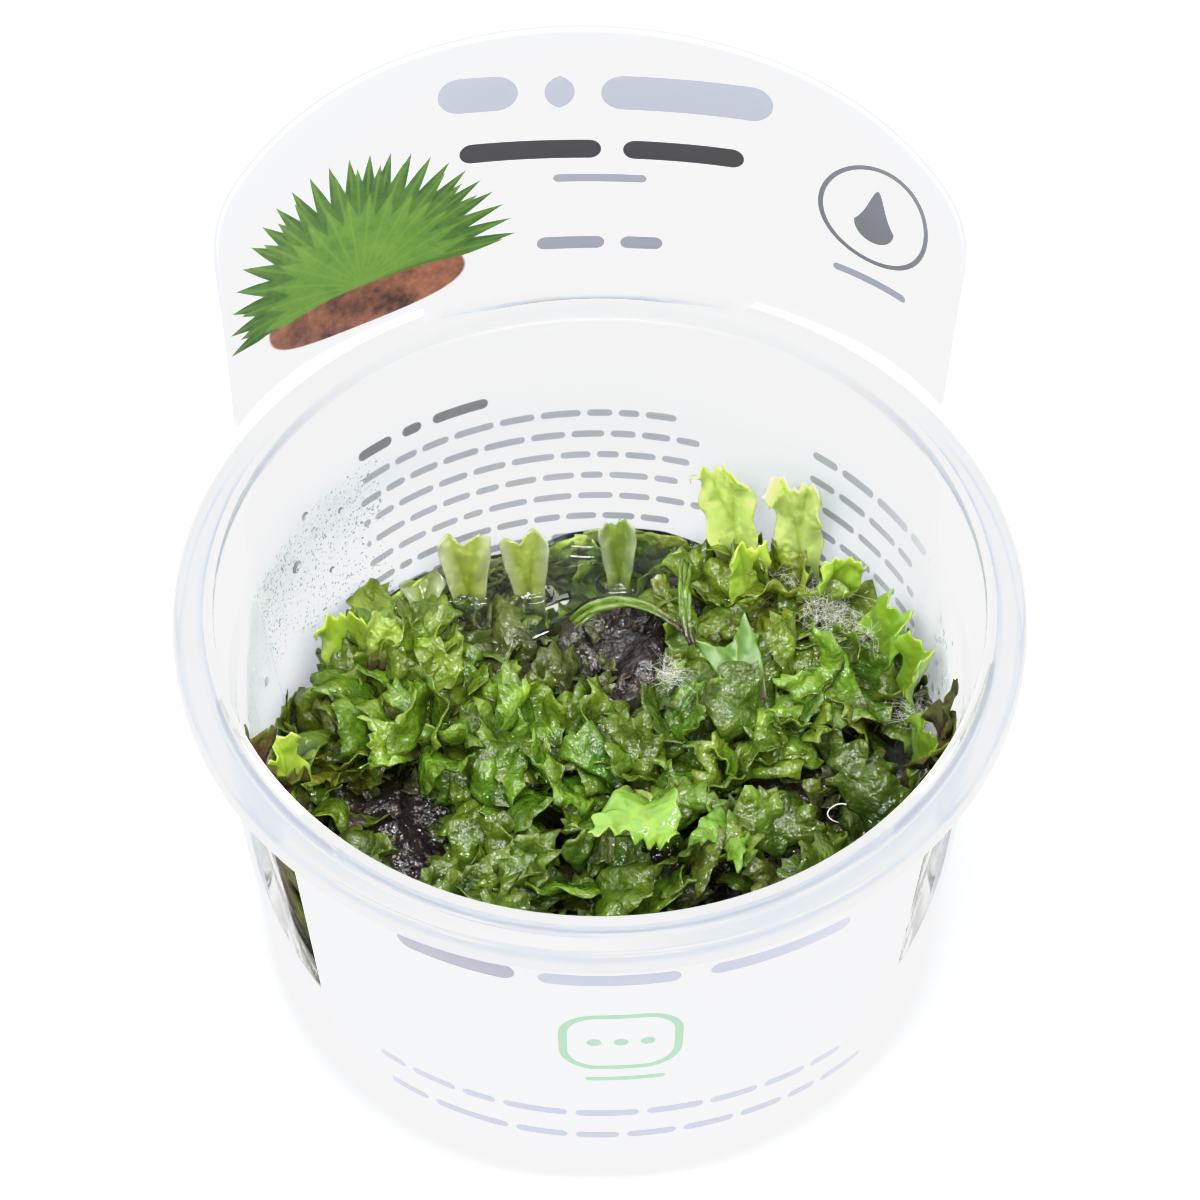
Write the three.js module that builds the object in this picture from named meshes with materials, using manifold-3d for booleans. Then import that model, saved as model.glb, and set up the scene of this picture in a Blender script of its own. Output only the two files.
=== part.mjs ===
// A liverwort grown in a small clear tub: the tub, its card sleeve with a tall
// back panel, the growth gel, and the plant as clumps and single fronds.
// Millimetres, +Z up. The origin is the middle of the tub's underside. The
// sleeve's front panel faces -Y and its tall panel stands at the back, +Y.

import * as THREE from 'three';
import { mergeVertices } from 'three/addons/utils/BufferGeometryUtils.js';
import Module from 'manifold-3d';

// Driving dimensions of the tub
const RIM_RADIUS = 40;
const RIM_HEIGHT = 48;
const RIM_THICKNESS = 1.4;
const LIP_DROP = 2.6;
const LIP_WIDTH = 0.8;
const BEAD_HEIGHT = 1.3;
const BEAD_WIDTH = 0.9;
const TUB_FOOT_RADIUS = 32.6;
const TUB_DRAFT = 0.0922;
const WALL = 0.9;
const LEDGE_HEIGHT = 37.8;
const LEDGE_WIDTH = 0.5;
const FLOOR = 1.2;
const CORNER = 1.2;
const TUB_SEGMENTS = 40;

// Driving dimensions of the sleeve; angles are in degrees from the middle of the back
const CARD = 0.45;
const CARD_GAP = 0.35;
const SLEEVE_FOOT = 1.4;
const SLEEVE_FRONT_TOP = 45.4;
const NOTCH_FOOT = 15;
const NOTCH_ANGLE = 127.7;
const NOTCH_CURVE = 1.7;
const PANEL_ANGLE = 56.5;
const PANEL_HALF_WIDTH = 38.3;
const PANEL_HEIGHT = 34.7;
const PANEL_ARCH_RADIUS = 60;
const PANEL_CORNER_RADIUS = 7.5;
const PANEL_LEAN = 5.5;
const PANEL_TOP_RADIUS = 110;
const PANEL_TWIST = -4.6;
const PANEL_SHIFT = 1.4;
const SLOT_ANGLE = 39;
const SLOT_FOOT = 44.9;
const SLOT_HEAD = 48.4;

// Driving dimensions of the gel and the plant
const GEL_HEIGHT = 13.8;
const GEL_FOOT = 1.5;
const GEL_SEGMENTS = 20;
const CLEARANCE = 0.3;
const CUSHION_FOOT = 14.3;
const CUSHION_RADIUS = 32.2;
const CUSHION_TOP = 40;
const CUSHION_SPREAD = 1.07;
const FROND_THICKNESS = 0.9;
const LOBE_THICKNESS = 1.1;
const LOBES_PER_CLUMP = 5;
const OUTLINE_STEPS = 20;

// Each clump's middle, its reach and how high its lobes stand
const CLUMPS = [
  { name: 'clump_left', x: -27, y: 6, reach: 8, rise: 6.5, colour: 0x5f8f1f },
  { name: 'clump_back_left', x: -18, y: 14, reach: 7, rise: 6, colour: 0x74a828 },
  { name: 'clump_centre_left', x: -11, y: 3, reach: 8, rise: 7.5, colour: 0x5c9c1c },
  { name: 'clump_back_centre', x: 1, y: 15, reach: 8, rise: 5, colour: 0x3c4a22 },
  { name: 'clump_back_right', x: 15, y: 20, reach: 8, rise: 6, colour: 0x6b9a2a },
  { name: 'clump_right', x: 26, y: 9, reach: 8, rise: 8, colour: 0x558a1e },
  { name: 'clump_centre', x: 3, y: 1, reach: 8, rise: 7, colour: 0x4f9016 },
  { name: 'clump_centre_right', x: 17, y: 2, reach: 8, rise: 8.5, colour: 0x62a01f },
  { name: 'clump_right_front', x: 27, y: -9, reach: 8, rise: 6.5, colour: 0x3e5a1c },
  { name: 'clump_front_right', x: 15, y: -18, reach: 9, rise: 7, colour: 0x4d8218 },
  { name: 'clump_front', x: 1, y: -17, reach: 9, rise: 7.5, colour: 0x58921c },
  { name: 'clump_front_left', x: -13, y: -15, reach: 9, rise: 7, colour: 0x4c8a18 },
  { name: 'clump_left_front', x: -25, y: -8, reach: 8, rise: 5.5, colour: 0x35402a },
];
const GEL_POOL = { x: -8, y: 28 };

// Each single frond: where it grows from, its tip, the way its flat side faces, and its shape
const FRONDS = [
  { name: 'frond_tall_left', base: [16, 23.4, 17], tip: [13, 28.2, 33], face: [-0.3, -1, 0.5], width: 5.4, fork: 1.2, curl: -1.2, colour: 0xa9d63c },
  { name: 'frond_tall_right', base: [21.4, 21, 18], tip: [20.3, 24.4, 35], face: [-0.3, -1, 0.4], width: 5.2, fork: 0.9, curl: -1, colour: 0xb7dc52 },
  { name: 'frond_tall_middle', base: [15.6, 19.4, 16], tip: [16, 21, 29.5], face: [0.1, -1, 0.4], width: 4, fork: 0.8, curl: -0.6, colour: 0x9ccb34 },
  { name: 'frond_side_right', base: [22.5, 15.5, 20], tip: [25, 17, 32], face: [0.2, -1, 0.6], width: 6, fork: 1.6, curl: -1, colour: 0x96c52e },
  { name: 'frond_wall_upper', base: [27.6, 11.2, 18], tip: [30.2, 11.4, 31], face: [-1, -0.4, 0.3], width: 6, fork: 1.2, curl: 0.8, colour: 0x7cb41f },
  { name: 'frond_wall_middle', base: [29.8, 4.4, 18], tip: [32.1, 5.6, 32], face: [-1, -0.2, 0.2], width: 5.4, fork: 1, curl: 0.6, colour: 0x7bb01f },
  { name: 'frond_wall_lower', base: [30.8, -2.6, 18], tip: [32.2, -2.2, 29], face: [-1, 0, 0.2], width: 5.6, fork: 1.1, curl: 0.6, colour: 0x74a81f },
  { name: 'frond_gel_left', base: [-17.2, 23.2, 10], tip: [-17.4, 24.2, 18.5], face: [0, -1, 0.5], width: 4.8, fork: 1, curl: 0.4, colour: 0x8fb52c },
  { name: 'frond_gel_middle', base: [-11.6, 25, 9], tip: [-12.4, 26.2, 22.5], face: [0, -1, 0.3], width: 5, fork: 1.8, curl: 0.4, colour: 0x9cc93a },
  { name: 'frond_gel_right', base: [-5, 24.4, 9], tip: [-6, 25.8, 22], face: [0, -1, 0.3], width: 5, fork: 1.6, curl: 0.4, colour: 0x9bc43c },
  { name: 'frond_back', base: [3.4, 25.6, 9], tip: [3, 28, 22.5], face: [0, -1, 0.3], width: 5.4, fork: 0.8, curl: 0.4, colour: 0x7fb02a },
  { name: 'frond_left_upper', base: [-23, 12.5, 15], tip: [-25, 17.2, 25.5], face: [-0.2, -1, 0.8], width: 6.2, fork: 1, curl: -0.8, colour: 0x8cc42a },
  { name: 'frond_left_edge', base: [-29.6, -1.2, 17], tip: [-31.6, -0.4, 27.4], face: [1, -0.6, 0.4], width: 5, fork: 0.9, curl: 0.4, colour: 0x97cf2e },
  { name: 'frond_forked', base: [16.4, 2, 26.4], tip: [11.4, 10.6, 31.6], face: [0, -0.5, 1], width: 7.4, fork: 3, curl: 0.8, colour: 0x6aa32c },
  { name: 'frond_curled', base: [4.6, -7, 25], tip: [2.4, -15.6, 29.5], face: [0, 0.35, 1], width: 8, fork: 1.4, curl: 2, colour: 0x6fb12e },
];

const wasm = await Module();
wasm.setup();

const radians = THREE.MathUtils.degToRad;
const mix = THREE.MathUtils.lerp;
const ease = THREE.MathUtils.smoothstep;

// Merges a shape's corners, drops flat triangles and turns its faces outwards
function closedShape(geometry) {
  const bare = geometry.clone();
  bare.deleteAttribute('normal');
  bare.deleteAttribute('uv');
  const merged = mergeVertices(bare, 1e-4);
  const corner = (n) => new THREE.Vector3().fromBufferAttribute(merged.attributes.position, n);
  const faces = [];
  let volume = 0;
  for (let n = 0; n < merged.index.count; n += 3) {
    const [a, b, c] = [0, 1, 2].map((k) => merged.index.getX(n + k));
    if (a === b || b === c || c === a) continue;
    faces.push([a, b, c]);
    volume += corner(a).dot(corner(b).cross(corner(c)));
  }
  const outward = volume > 0 ? faces : faces.map(([a, b, c]) => [a, c, b]);
  merged.setIndex(outward.flat());
  merged.computeVertexNormals();
  return merged;
}

function toManifold(geometry) {
  const vertProperties = new Float32Array(geometry.attributes.position.array);
  const triVerts = new Uint32Array(geometry.index.array);
  return new wasm.Manifold(new wasm.Mesh({ numProp: 3, vertProperties, triVerts }));
}

function fromManifold(solid) {
  const { vertProperties, triVerts } = solid.getMesh();
  const geometry = new THREE.BufferGeometry();
  geometry.setAttribute('position', new THREE.BufferAttribute(new Float32Array(vertProperties), 3));
  geometry.setIndex(new THREE.BufferAttribute(new Uint32Array(triVerts), 1));
  geometry.computeVertexNormals();
  return geometry;
}

const cutRooms = (solid, rooms) => rooms.reduce((left, room) => left.subtract(room), solid);

// A cut can leave a crumb beside the body: only the body is kept
function largestBody(solid) {
  return solid.decompose().reduce((best, body) => (body.volume() > best.volume() ? body : best));
}

function turnedShape(profile, segments) {
  const points = profile.map(([radius, height]) => new THREE.Vector2(radius, height));
  return closedShape(new THREE.LatheGeometry(points, segments).rotateX(Math.PI / 2));
}

// Closed sheet over the cells of a grid: both faces of each cell, and a wall along each open edge
function thinSolid(cells, point) {
  const positions = [];
  const slots = new Map();
  const corner = ([i, j], side) => {
    const key = `${i},${j},${side}`;
    if (!slots.has(key)) {
      slots.set(key, positions.length / 3);
      positions.push(...point(i, j, side).toArray());
    }
    return slots.get(key);
  };
  const faces = [];
  const quad = (a, b, c, d) => faces.push(a, b, c, a, c, d);
  const edges = new Map();
  for (const [a, b, c, d] of cells) {
    quad(corner(a, 0), corner(b, 0), corner(c, 0), corner(d, 0));
    quad(corner(d, 1), corner(c, 1), corner(b, 1), corner(a, 1));
    for (const [from, to] of [[a, b], [b, c], [c, d], [d, a]]) {
      edges.set(`${from}|${to}`, [from, to]);
    }
  }
  for (const [from, to] of edges.values()) {
    if (edges.has(`${to}|${from}`)) continue;
    quad(corner(to, 0), corner(from, 0), corner(from, 1), corner(to, 1));
  }
  const geometry = new THREE.BufferGeometry();
  geometry.setAttribute('position', new THREE.Float32BufferAttribute(positions, 3));
  geometry.setIndex(faces);
  return closedShape(geometry);
}

// Tub: one turned wall with a bead, a flat rim with a turned-down lip, and a stacking ledge inside
const tubOutside = (height) => TUB_FOOT_RADIUS + TUB_DRAFT * height;
const ledgeInside = tubOutside(LEDGE_HEIGHT) - WALL - LEDGE_WIDTH;
const tubInside = (height) => ledgeInside - TUB_DRAFT * (LEDGE_HEIGHT - height);

function makeTub() {
  const underRim = RIM_HEIGHT - RIM_THICKNESS;
  const mouth = tubOutside(RIM_HEIGHT) - WALL;
  return turnedShape([
    [0, 0],
    [TUB_FOOT_RADIUS - CORNER, 0],
    [TUB_FOOT_RADIUS - CORNER * 0.3, CORNER * 0.3],
    [tubOutside(CORNER), CORNER],
    [tubOutside(underRim), underRim],
    [RIM_RADIUS - LIP_WIDTH, underRim],
    [RIM_RADIUS - LIP_WIDTH, RIM_HEIGHT - LIP_DROP],
    [RIM_RADIUS, RIM_HEIGHT - LIP_DROP],
    [RIM_RADIUS, RIM_HEIGHT - 0.4],
    [RIM_RADIUS - 0.4, RIM_HEIGHT],
    [mouth + BEAD_WIDTH, RIM_HEIGHT],
    [mouth + BEAD_WIDTH * 0.75, RIM_HEIGHT + BEAD_HEIGHT],
    [mouth + BEAD_WIDTH * 0.2, RIM_HEIGHT + BEAD_HEIGHT],
    [mouth - 0.1, RIM_HEIGHT - 0.2],
    [tubOutside(LEDGE_HEIGHT) - WALL, LEDGE_HEIGHT + 0.3],
    [ledgeInside, LEDGE_HEIGHT],
    [tubInside(3), 3],
    [tubInside(3) - 1.4, FLOOR],
    [0, FLOOR],
  ], TUB_SEGMENTS);
}

// Sleeve: a cone of card round the wall, cut away at both sides, that rises at the back into a
// tall panel. At the rim the panel's plan goes from the wall's radius, through a slot, to just
// outside the lip; higher up it flattens to a gentle curve, leans back and twists a little.
const cardInside = (height) => tubOutside(height) + CARD_GAP;

function panelPlanRadius(angle) {
  const nearest = cardInside(RIM_HEIGHT);
  const reach = Math.min(Math.abs(angle) / 52, 1);
  return mix(nearest, RIM_RADIUS + 0.6, Math.sin(reach * Math.PI / 2) ** 2);
}

function sleevePoint(angle, height) {
  const flare = ease(height, 37, 45) * (1 - ease(Math.abs(angle), PANEL_ANGLE + 4, 88));
  const radius = mix(cardInside(height), panelPlanRadius(angle), flare);
  return new THREE.Vector3(radius * Math.sin(radians(angle)), radius * Math.cos(radians(angle)), height);
}

function panelPoint(angle, rise) {
  const along = PANEL_HALF_WIDTH * angle / PANEL_ANGLE;
  const low = sleevePoint(angle, RIM_HEIGHT);
  const middle = sleevePoint(0, RIM_HEIGHT).y;
  const turn = along / PANEL_TOP_RADIUS;
  const flatX = PANEL_TOP_RADIUS * Math.sin(turn);
  const flatY = middle - PANEL_TOP_RADIUS * (1 - Math.cos(turn));
  const climb = rise / PANEL_HEIGHT;
  const plan = new THREE.Vector2(low.x, low.y).lerp(new THREE.Vector2(flatX, flatY), climb ** 1.8);
  plan.rotateAround(new THREE.Vector2(0, middle), radians(PANEL_TWIST) * climb ** 0.7);
  return new THREE.Vector3(
    plan.x + PANEL_SHIFT * climb ** 0.7,
    plan.y + rise * Math.sin(radians(PANEL_LEAN)),
    RIM_HEIGHT + rise * Math.cos(radians(PANEL_LEAN)),
  );
}

// Height of the panel's arched edge above the rim, with its rounded corners
function panelEdge(angle) {
  const along = Math.abs(PANEL_HALF_WIDTH * angle / PANEL_ANGLE);
  const archFoot = PANEL_HEIGHT - PANEL_ARCH_RADIUS;
  const cornerX = PANEL_HALF_WIDTH - PANEL_CORNER_RADIUS;
  const reach = PANEL_ARCH_RADIUS - PANEL_CORNER_RADIUS;
  const cornerY = archFoot + Math.sqrt(reach ** 2 - cornerX ** 2);
  const meetX = cornerX * PANEL_ARCH_RADIUS / reach;
  if (along < meetX) return archFoot + Math.sqrt(PANEL_ARCH_RADIUS ** 2 - along ** 2);
  const out = Math.min(along - cornerX, PANEL_CORNER_RADIUS);
  return cornerY + Math.sqrt(PANEL_CORNER_RADIUS ** 2 - out ** 2);
}

function sleeveEdge(angle) {
  const away = Math.abs(angle);
  if (away > NOTCH_ANGLE) return SLEEVE_FRONT_TOP;
  const climb = Math.max((NOTCH_ANGLE - away) / (NOTCH_ANGLE - PANEL_ANGLE), 0);
  return mix(NOTCH_FOOT, SLOT_FOOT, Math.min(climb, 1) ** NOTCH_CURVE);
}

function makeSleeve() {
  const half = [
    9.5, 19, 29, SLOT_ANGLE, 46, 52, 54.7, PANEL_ANGLE,
    61, 68, 78, 90, 104, 117, NOTCH_ANGLE - 0.4, NOTCH_ANGLE + 0.4, 137, 147, 158, 169,
  ];
  const angles = [...half.map((angle) => -angle).reverse(), 0, ...half, 180];
  const lowParts = [0, 0.82, 0.91, 1];
  const lowRows = lowParts.length - 1;
  const highRows = 5;
  const surface = (angle, row) => {
    if (row <= lowRows) return sleevePoint(angle, mix(SLEEVE_FOOT, sleeveEdge(angle), lowParts[row]));
    const part = (row - lowRows - 1) / highRows;
    return panelPoint(angle, mix(SLOT_HEAD - RIM_HEIGHT, panelEdge(angle), part));
  };
  const point = (i, row, side) => {
    const angle = angles[i];
    const here = surface(angle, row);
    if (side === 0) return here;
    const limit = Math.abs(angle) <= PANEL_ANGLE ? PANEL_ANGLE : 180;
    const ahead = surface(Math.min(angle + 0.05, limit), Math.min(row, lowRows + 1));
    const behind = surface(Math.max(angle - 0.05, -limit), Math.min(row, lowRows + 1));
    const outward = new THREE.Vector3(behind.y - ahead.y, ahead.x - behind.x, 0).normalize();
    return here.addScaledVector(outward, CARD);
  };
  const cells = [];
  for (let i = 0; i < angles.length; i += 1) {
    const next = (i + 1) % angles.length;
    const farther = Math.max(Math.abs(angles[i]), Math.abs(angles[next]));
    const nearer = Math.min(Math.abs(angles[i]), Math.abs(angles[next]));
    for (let row = 0; row < lowRows + 1 + highRows; row += 1) {
      const inSlot = row === lowRows && nearer < SLOT_ANGLE;
      const besidePanel = row >= lowRows && farther > PANEL_ANGLE;
      if (inSlot || besidePanel) continue;
      cells.push([[i, row], [next, row], [next, row + 1], [i, row + 1]]);
    }
  }
  return thinSolid(cells, point);
}

// Frond: a strap that widens to a forked, scalloped tip; u runs along it and v across it
function frondPoint(frond, u, v) {
  const base = new THREE.Vector3(...frond.base);
  const axis = new THREE.Vector3(...frond.tip).sub(base);
  const side = new THREE.Vector3(...frond.face).cross(axis).normalize();
  const normal = axis.clone().cross(side).normalize();
  const half = frond.width / 2 * (0.45 + 0.55 * Math.sin(Math.PI / 2 * Math.min(1, u * 1.2)));
  const scallop = frond.fork * u ** 4 * (Math.sin(Math.PI * v) ** 2 - 0.8);
  const rise = frond.curl * Math.sin(Math.PI * u) + 0.1 * frond.width * v ** 2 * u;
  return base
    .addScaledVector(axis, u)
    .addScaledVector(axis.normalize(), scallop)
    .addScaledVector(side, half * v)
    .addScaledVector(normal, rise);
}

function makeFrond(frond, across, along, thickness) {
  const cells = [];
  for (let i = 0; i + 1 < across.length; i += 1) {
    for (let j = 0; j + 1 < along.length; j += 1) {
      cells.push([[i, j], [i + 1, j], [i + 1, j + 1], [i, j + 1]]);
    }
  }
  return thinSolid(cells, (i, j, side) => {
    const point = frondPoint(frond, along[j], across[i]);
    const ahead = frondPoint(frond, along[j] + 0.01, across[i]).sub(point);
    const beside = frondPoint(frond, along[j], across[i] + 0.01).sub(point);
    const normal = beside.cross(ahead).normalize();
    return point.addScaledVector(normal, thickness * (side - 0.5));
  });
}

const singleFrond = (frond) => makeFrond(frond, [-1, -0.5, 0, 0.5, 1], [0, 0.4, 0.75, 1], FROND_THICKNESS);

// The room that a single frond takes up, with the clearance all round
function frondRoom(frond) {
  const grown = { ...frond, width: frond.width + 2 * CLEARANCE };
  const ends = [-0.04, 0.4, 0.75, 1.04];
  return toManifold(makeFrond(grown, [-1, -0.5, 0, 0.5, 1], ends, FROND_THICKNESS + 2 * CLEARANCE));
}

// Cushion: the ground of the plant, which the clumps share out between them
function cushionHeight(x, y) {
  const slope = 19.2 + 0.07 * x - 0.02 * y;
  const swell = 1.3 * Math.sin(0.31 * x + 1.1) * Math.cos(0.27 * y - 0.4);
  return slope + swell + 0.9 * Math.sin(0.55 * x - 0.48 * y);
}

function makeCushion() {
  const rings = [1.03, 0.66, 0.32, 0];
  const top = rings.map((part) => [CUSHION_RADIUS * part, CUSHION_TOP]);
  const shape = turnedShape([[0, CUSHION_FOOT], [CUSHION_RADIUS, CUSHION_FOOT], ...top], 10);
  const position = shape.attributes.position;
  for (let n = 0; n < position.count; n += 1) {
    if (position.getZ(n) > CUSHION_FOOT + 1) {
      position.setZ(n, cushionHeight(position.getX(n), position.getY(n)));
    }
  }
  return toManifold(shape);
}

// The part of an outline that is nearer to one middle than to another
function nearerPart(outline, middle, other) {
  const away = other.clone().sub(middle);
  const limit = away.length() / 2 - CLEARANCE / 2;
  const distance = (point) => point.clone().sub(middle).dot(away) / away.length() - limit;
  return outline.flatMap((point, n) => {
    const next = outline[(n + 1) % outline.length];
    const here = distance(point);
    const there = distance(next);
    const kept = here <= 0 ? [point] : [];
    if (here * there < 0) kept.push(point.clone().lerp(next, here / (here - there)));
    return kept;
  });
}

// The ground that belongs to one clump, as a tapered prism that widens as the tub does
function clumpGround(clump) {
  const round = Array.from({ length: OUTLINE_STEPS }, (_, n) => {
    const turn = n / OUTLINE_STEPS * 2 * Math.PI;
    return new THREE.Vector2(CUSHION_RADIUS * Math.cos(turn), CUSHION_RADIUS * Math.sin(turn));
  });
  const middle = new THREE.Vector2(clump.x, clump.y);
  const others = [...CLUMPS, GEL_POOL].filter((other) => other !== clump);
  const outline = others.reduce(
    (shape, other) => nearerPart(shape, middle, new THREE.Vector2(other.x, other.y)),
    round,
  );
  const count = outline.length;
  const positions = [
    ...outline.flatMap(({ x, y }) => [x, y, CUSHION_FOOT]),
    ...outline.flatMap(({ x, y }) => [x * CUSHION_SPREAD, y * CUSHION_SPREAD, CUSHION_TOP]),
  ];
  const faces = [];
  for (let n = 0; n < count; n += 1) {
    const next = (n + 1) % count;
    faces.push(n, next, count + next, n, count + next, count + n);
    if (n > 0 && next > 0) faces.push(0, next, n, count, count + n, count + next);
  }
  const geometry = new THREE.BufferGeometry();
  geometry.setAttribute('position', new THREE.Float32BufferAttribute(positions, 3));
  geometry.setIndex(faces);
  return toManifold(closedShape(geometry));
}

// A number between 0 and 1 that is always the same for the same place in the count
const scatter = (n) => {
  const value = Math.sin(n * 12.9898) * 43758.5453;
  return value - Math.floor(value);
};

// One lobe of a clump: they stand in a sunflower pattern and lean further out towards the edge
function clumpLobe(clump, order, n) {
  const turn = radians(137.5 * n + 40 * order);
  const out = Math.sqrt((n + 0.4) / LOBES_PER_CLUMP);
  const x = clump.x + clump.reach * 0.7 * out * Math.cos(turn);
  const y = clump.y + clump.reach * 0.7 * out * Math.sin(turn);
  const foot = cushionHeight(x, y) - 2.5;
  const rise = clump.rise * (0.75 + 0.35 * scatter(order * 31 + n)) + 2.5;
  const lean = 1 + 3 * out;
  return {
    base: [x, y, foot],
    tip: [x + lean * Math.cos(turn), y + lean * Math.sin(turn), foot + rise],
    face: [-Math.cos(turn), -Math.sin(turn), 0.4],
    width: 9 + 2 * scatter(order * 17 + n + 5),
    fork: 1.8,
    curl: -0.8,
  };
}

function makeClump(clump, order, cushion, rooms) {
  const ground = clumpGround(clump);
  let solid = cushion.intersect(ground);
  for (let n = 0; n < LOBES_PER_CLUMP; n += 1) {
    const lobe = makeFrond(clumpLobe(clump, order, n), [-0.55, 0, 0.55], [0, 0.6, 1], LOBE_THICKNESS);
    solid = solid.add(toManifold(lobe));
  }
  solid = solid.intersect(ground);
  return fromManifold(largestBody(cutRooms(solid, rooms)));
}

// Gel: a clear disc that fills the foot of the tub, drawn up a little where it meets the wall
function makeGel(rooms) {
  const wall = (height) => tubInside(height) - CLEARANCE;
  const disc = toManifold(turnedShape([
    [0, GEL_FOOT],
    [tubInside(3) - 2, GEL_FOOT],
    [wall(3.2), 3.2],
    [wall(GEL_HEIGHT), GEL_HEIGHT],
    [wall(GEL_HEIGHT) - 1.2, GEL_HEIGHT - 0.7],
    [wall(GEL_HEIGHT) - 4, GEL_HEIGHT - 1],
    [0, GEL_HEIGHT - 0.8],
  ], GEL_SEGMENTS));
  return fromManifold(largestBody(cutRooms(disc, rooms)));
}

const plastic = { roughness: 0.12, metalness: 0 };
const leaf = { roughness: 0.25, metalness: 0 };

function part(name, geometry, look) {
  const mesh = new THREE.Mesh(geometry, new THREE.MeshStandardMaterial(look));
  mesh.name = name;
  return mesh;
}

const group = new THREE.Group();
const rooms = FRONDS.map(frondRoom);
const cushion = makeCushion();
group.add(part('tub', makeTub(), { color: 0xdfe6ee, transparent: true, opacity: 0.35, ...plastic }));
group.add(part('label_sleeve', makeSleeve(), { color: 0xf4f6f9, roughness: 0.35, metalness: 0 }));
group.add(part('growth_gel', makeGel(rooms), { color: 0xdfe8c8, transparent: true, opacity: 0.5, ...plastic }));
CLUMPS.forEach((clump, order) => {
  group.add(part(clump.name, makeClump(clump, order, cushion, rooms), { color: clump.colour, ...leaf }));
});
for (const frond of FRONDS) {
  group.add(part(frond.name, singleFrond(frond), { color: frond.colour, ...leaf }));
}

export default group;
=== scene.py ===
# Looks of a liverwort in a small clear tub: fine tub, printed card sleeve, gel, frilly thalli and drops.
# Shapes are worked out in millimetres, +Z up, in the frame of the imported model, and put in as metres.

import math

import bpy
import numpy as np
from mathutils import Matrix


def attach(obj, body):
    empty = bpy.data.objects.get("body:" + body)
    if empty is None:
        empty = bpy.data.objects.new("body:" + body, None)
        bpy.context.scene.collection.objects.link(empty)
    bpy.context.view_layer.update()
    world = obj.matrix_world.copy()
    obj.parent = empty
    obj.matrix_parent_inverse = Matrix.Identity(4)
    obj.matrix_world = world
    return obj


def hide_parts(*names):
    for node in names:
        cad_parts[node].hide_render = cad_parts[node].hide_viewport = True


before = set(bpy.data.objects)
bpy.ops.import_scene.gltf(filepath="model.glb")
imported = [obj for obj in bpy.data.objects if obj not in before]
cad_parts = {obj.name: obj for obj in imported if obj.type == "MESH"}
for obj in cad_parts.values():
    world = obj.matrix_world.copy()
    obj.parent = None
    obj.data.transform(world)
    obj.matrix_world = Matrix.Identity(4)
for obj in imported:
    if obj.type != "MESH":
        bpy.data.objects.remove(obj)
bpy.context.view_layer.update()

MM = 0.001
SEED = 7

# Driving dimensions, the same as those of the solids, in millimetres and degrees
RIM_RADIUS = 40
RIM_HEIGHT = 48
RIM_THICKNESS = 1.4
LIP_DROP = 2.6
LIP_WIDTH = 0.8
BEAD_HEIGHT = 1.3
BEAD_WIDTH = 0.9
TUB_FOOT_RADIUS = 32.6
TUB_DRAFT = 0.0922
WALL = 0.9
LEDGE_HEIGHT = 37.8
LEDGE_WIDTH = 0.5
FLOOR = 1.2
CARD = 0.45
CARD_GAP = 0.35
SLEEVE_FOOT = 1.4
SLEEVE_FRONT_TOP = 45.4
NOTCH_FOOT = 15
NOTCH_ANGLE = 127.7
NOTCH_CURVE = 1.7
PANEL_ANGLE = 56.5
PANEL_HALF_WIDTH = 38.3
PANEL_HEIGHT = 34.7
PANEL_ARCH_RADIUS = 60
PANEL_CORNER_RADIUS = 7.5
PANEL_LEAN = 5.5
PANEL_TOP_RADIUS = 110
PANEL_TWIST = -4.6
PANEL_SHIFT = 1.4
SLOT_ANGLE = 39
SLOT_FOOT = 44.9
SLOT_HEAD = 48.06
GEL_HEIGHT = 13.8
GEL_FOOT = 1.5

# Camera of the photograph: it looks down from the front, a little from the left
CAMERA_DISTANCE = 450
CAMERA_TARGET_HEIGHT = 30
CAMERA_ELEVATION = 53.5
CAMERA_TURN = 2.6
CAMERA_PITCH = 1.43
LENS = 139.6


def make_camera():
    """Looks along the elevation at the target, tips up by the pitch, and turns with its place about +Z."""
    elevation = math.radians(CAMERA_ELEVATION)
    turn = math.radians(CAMERA_TURN)
    pitch = math.radians(CAMERA_PITCH)
    back = np.array([0, -math.cos(elevation), math.sin(elevation)])
    place = np.array([0, 0, CAMERA_TARGET_HEIGHT]) + CAMERA_DISTANCE * back
    right = np.array([1.0, 0, 0])
    up = np.cross(back, right)
    tipped_up = up * math.cos(pitch) + back * math.sin(pitch)
    tipped_back = back * math.cos(pitch) - up * math.sin(pitch)
    around = np.array([
        [math.cos(turn), math.sin(turn), 0],
        [-math.sin(turn), math.cos(turn), 0],
        [0, 0, 1],
    ])
    matrix = np.eye(4)
    matrix[:3, :3] = around @ np.column_stack([right, tipped_up, tipped_back])
    matrix[:3, 3] = around @ place * MM
    data = bpy.data.cameras.new("camera")
    data.lens = LENS
    data.sensor_width = 36
    data.clip_start = 0.01
    camera = bpy.data.objects.new("camera", data)
    camera.matrix_world = Matrix(matrix.tolist())
    bpy.context.scene.collection.objects.link(camera)
    bpy.context.scene.camera = camera


# Meshes

def grid_quads(rows, columns, wrap_columns=False):
    """Quads of a grid of points counted row by row: each joins a point, the next one, and the two above."""
    row = np.arange(rows - 1)[:, None]
    column = np.arange(columns if wrap_columns else columns - 1)[None, :]
    beside = (column + 1) % columns
    this, above = row * columns, (row + 1) * columns
    corners = [this + column, this + beside, above + beside, above + column]
    return np.stack(corners, axis=-1).reshape(-1, 4)


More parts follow.
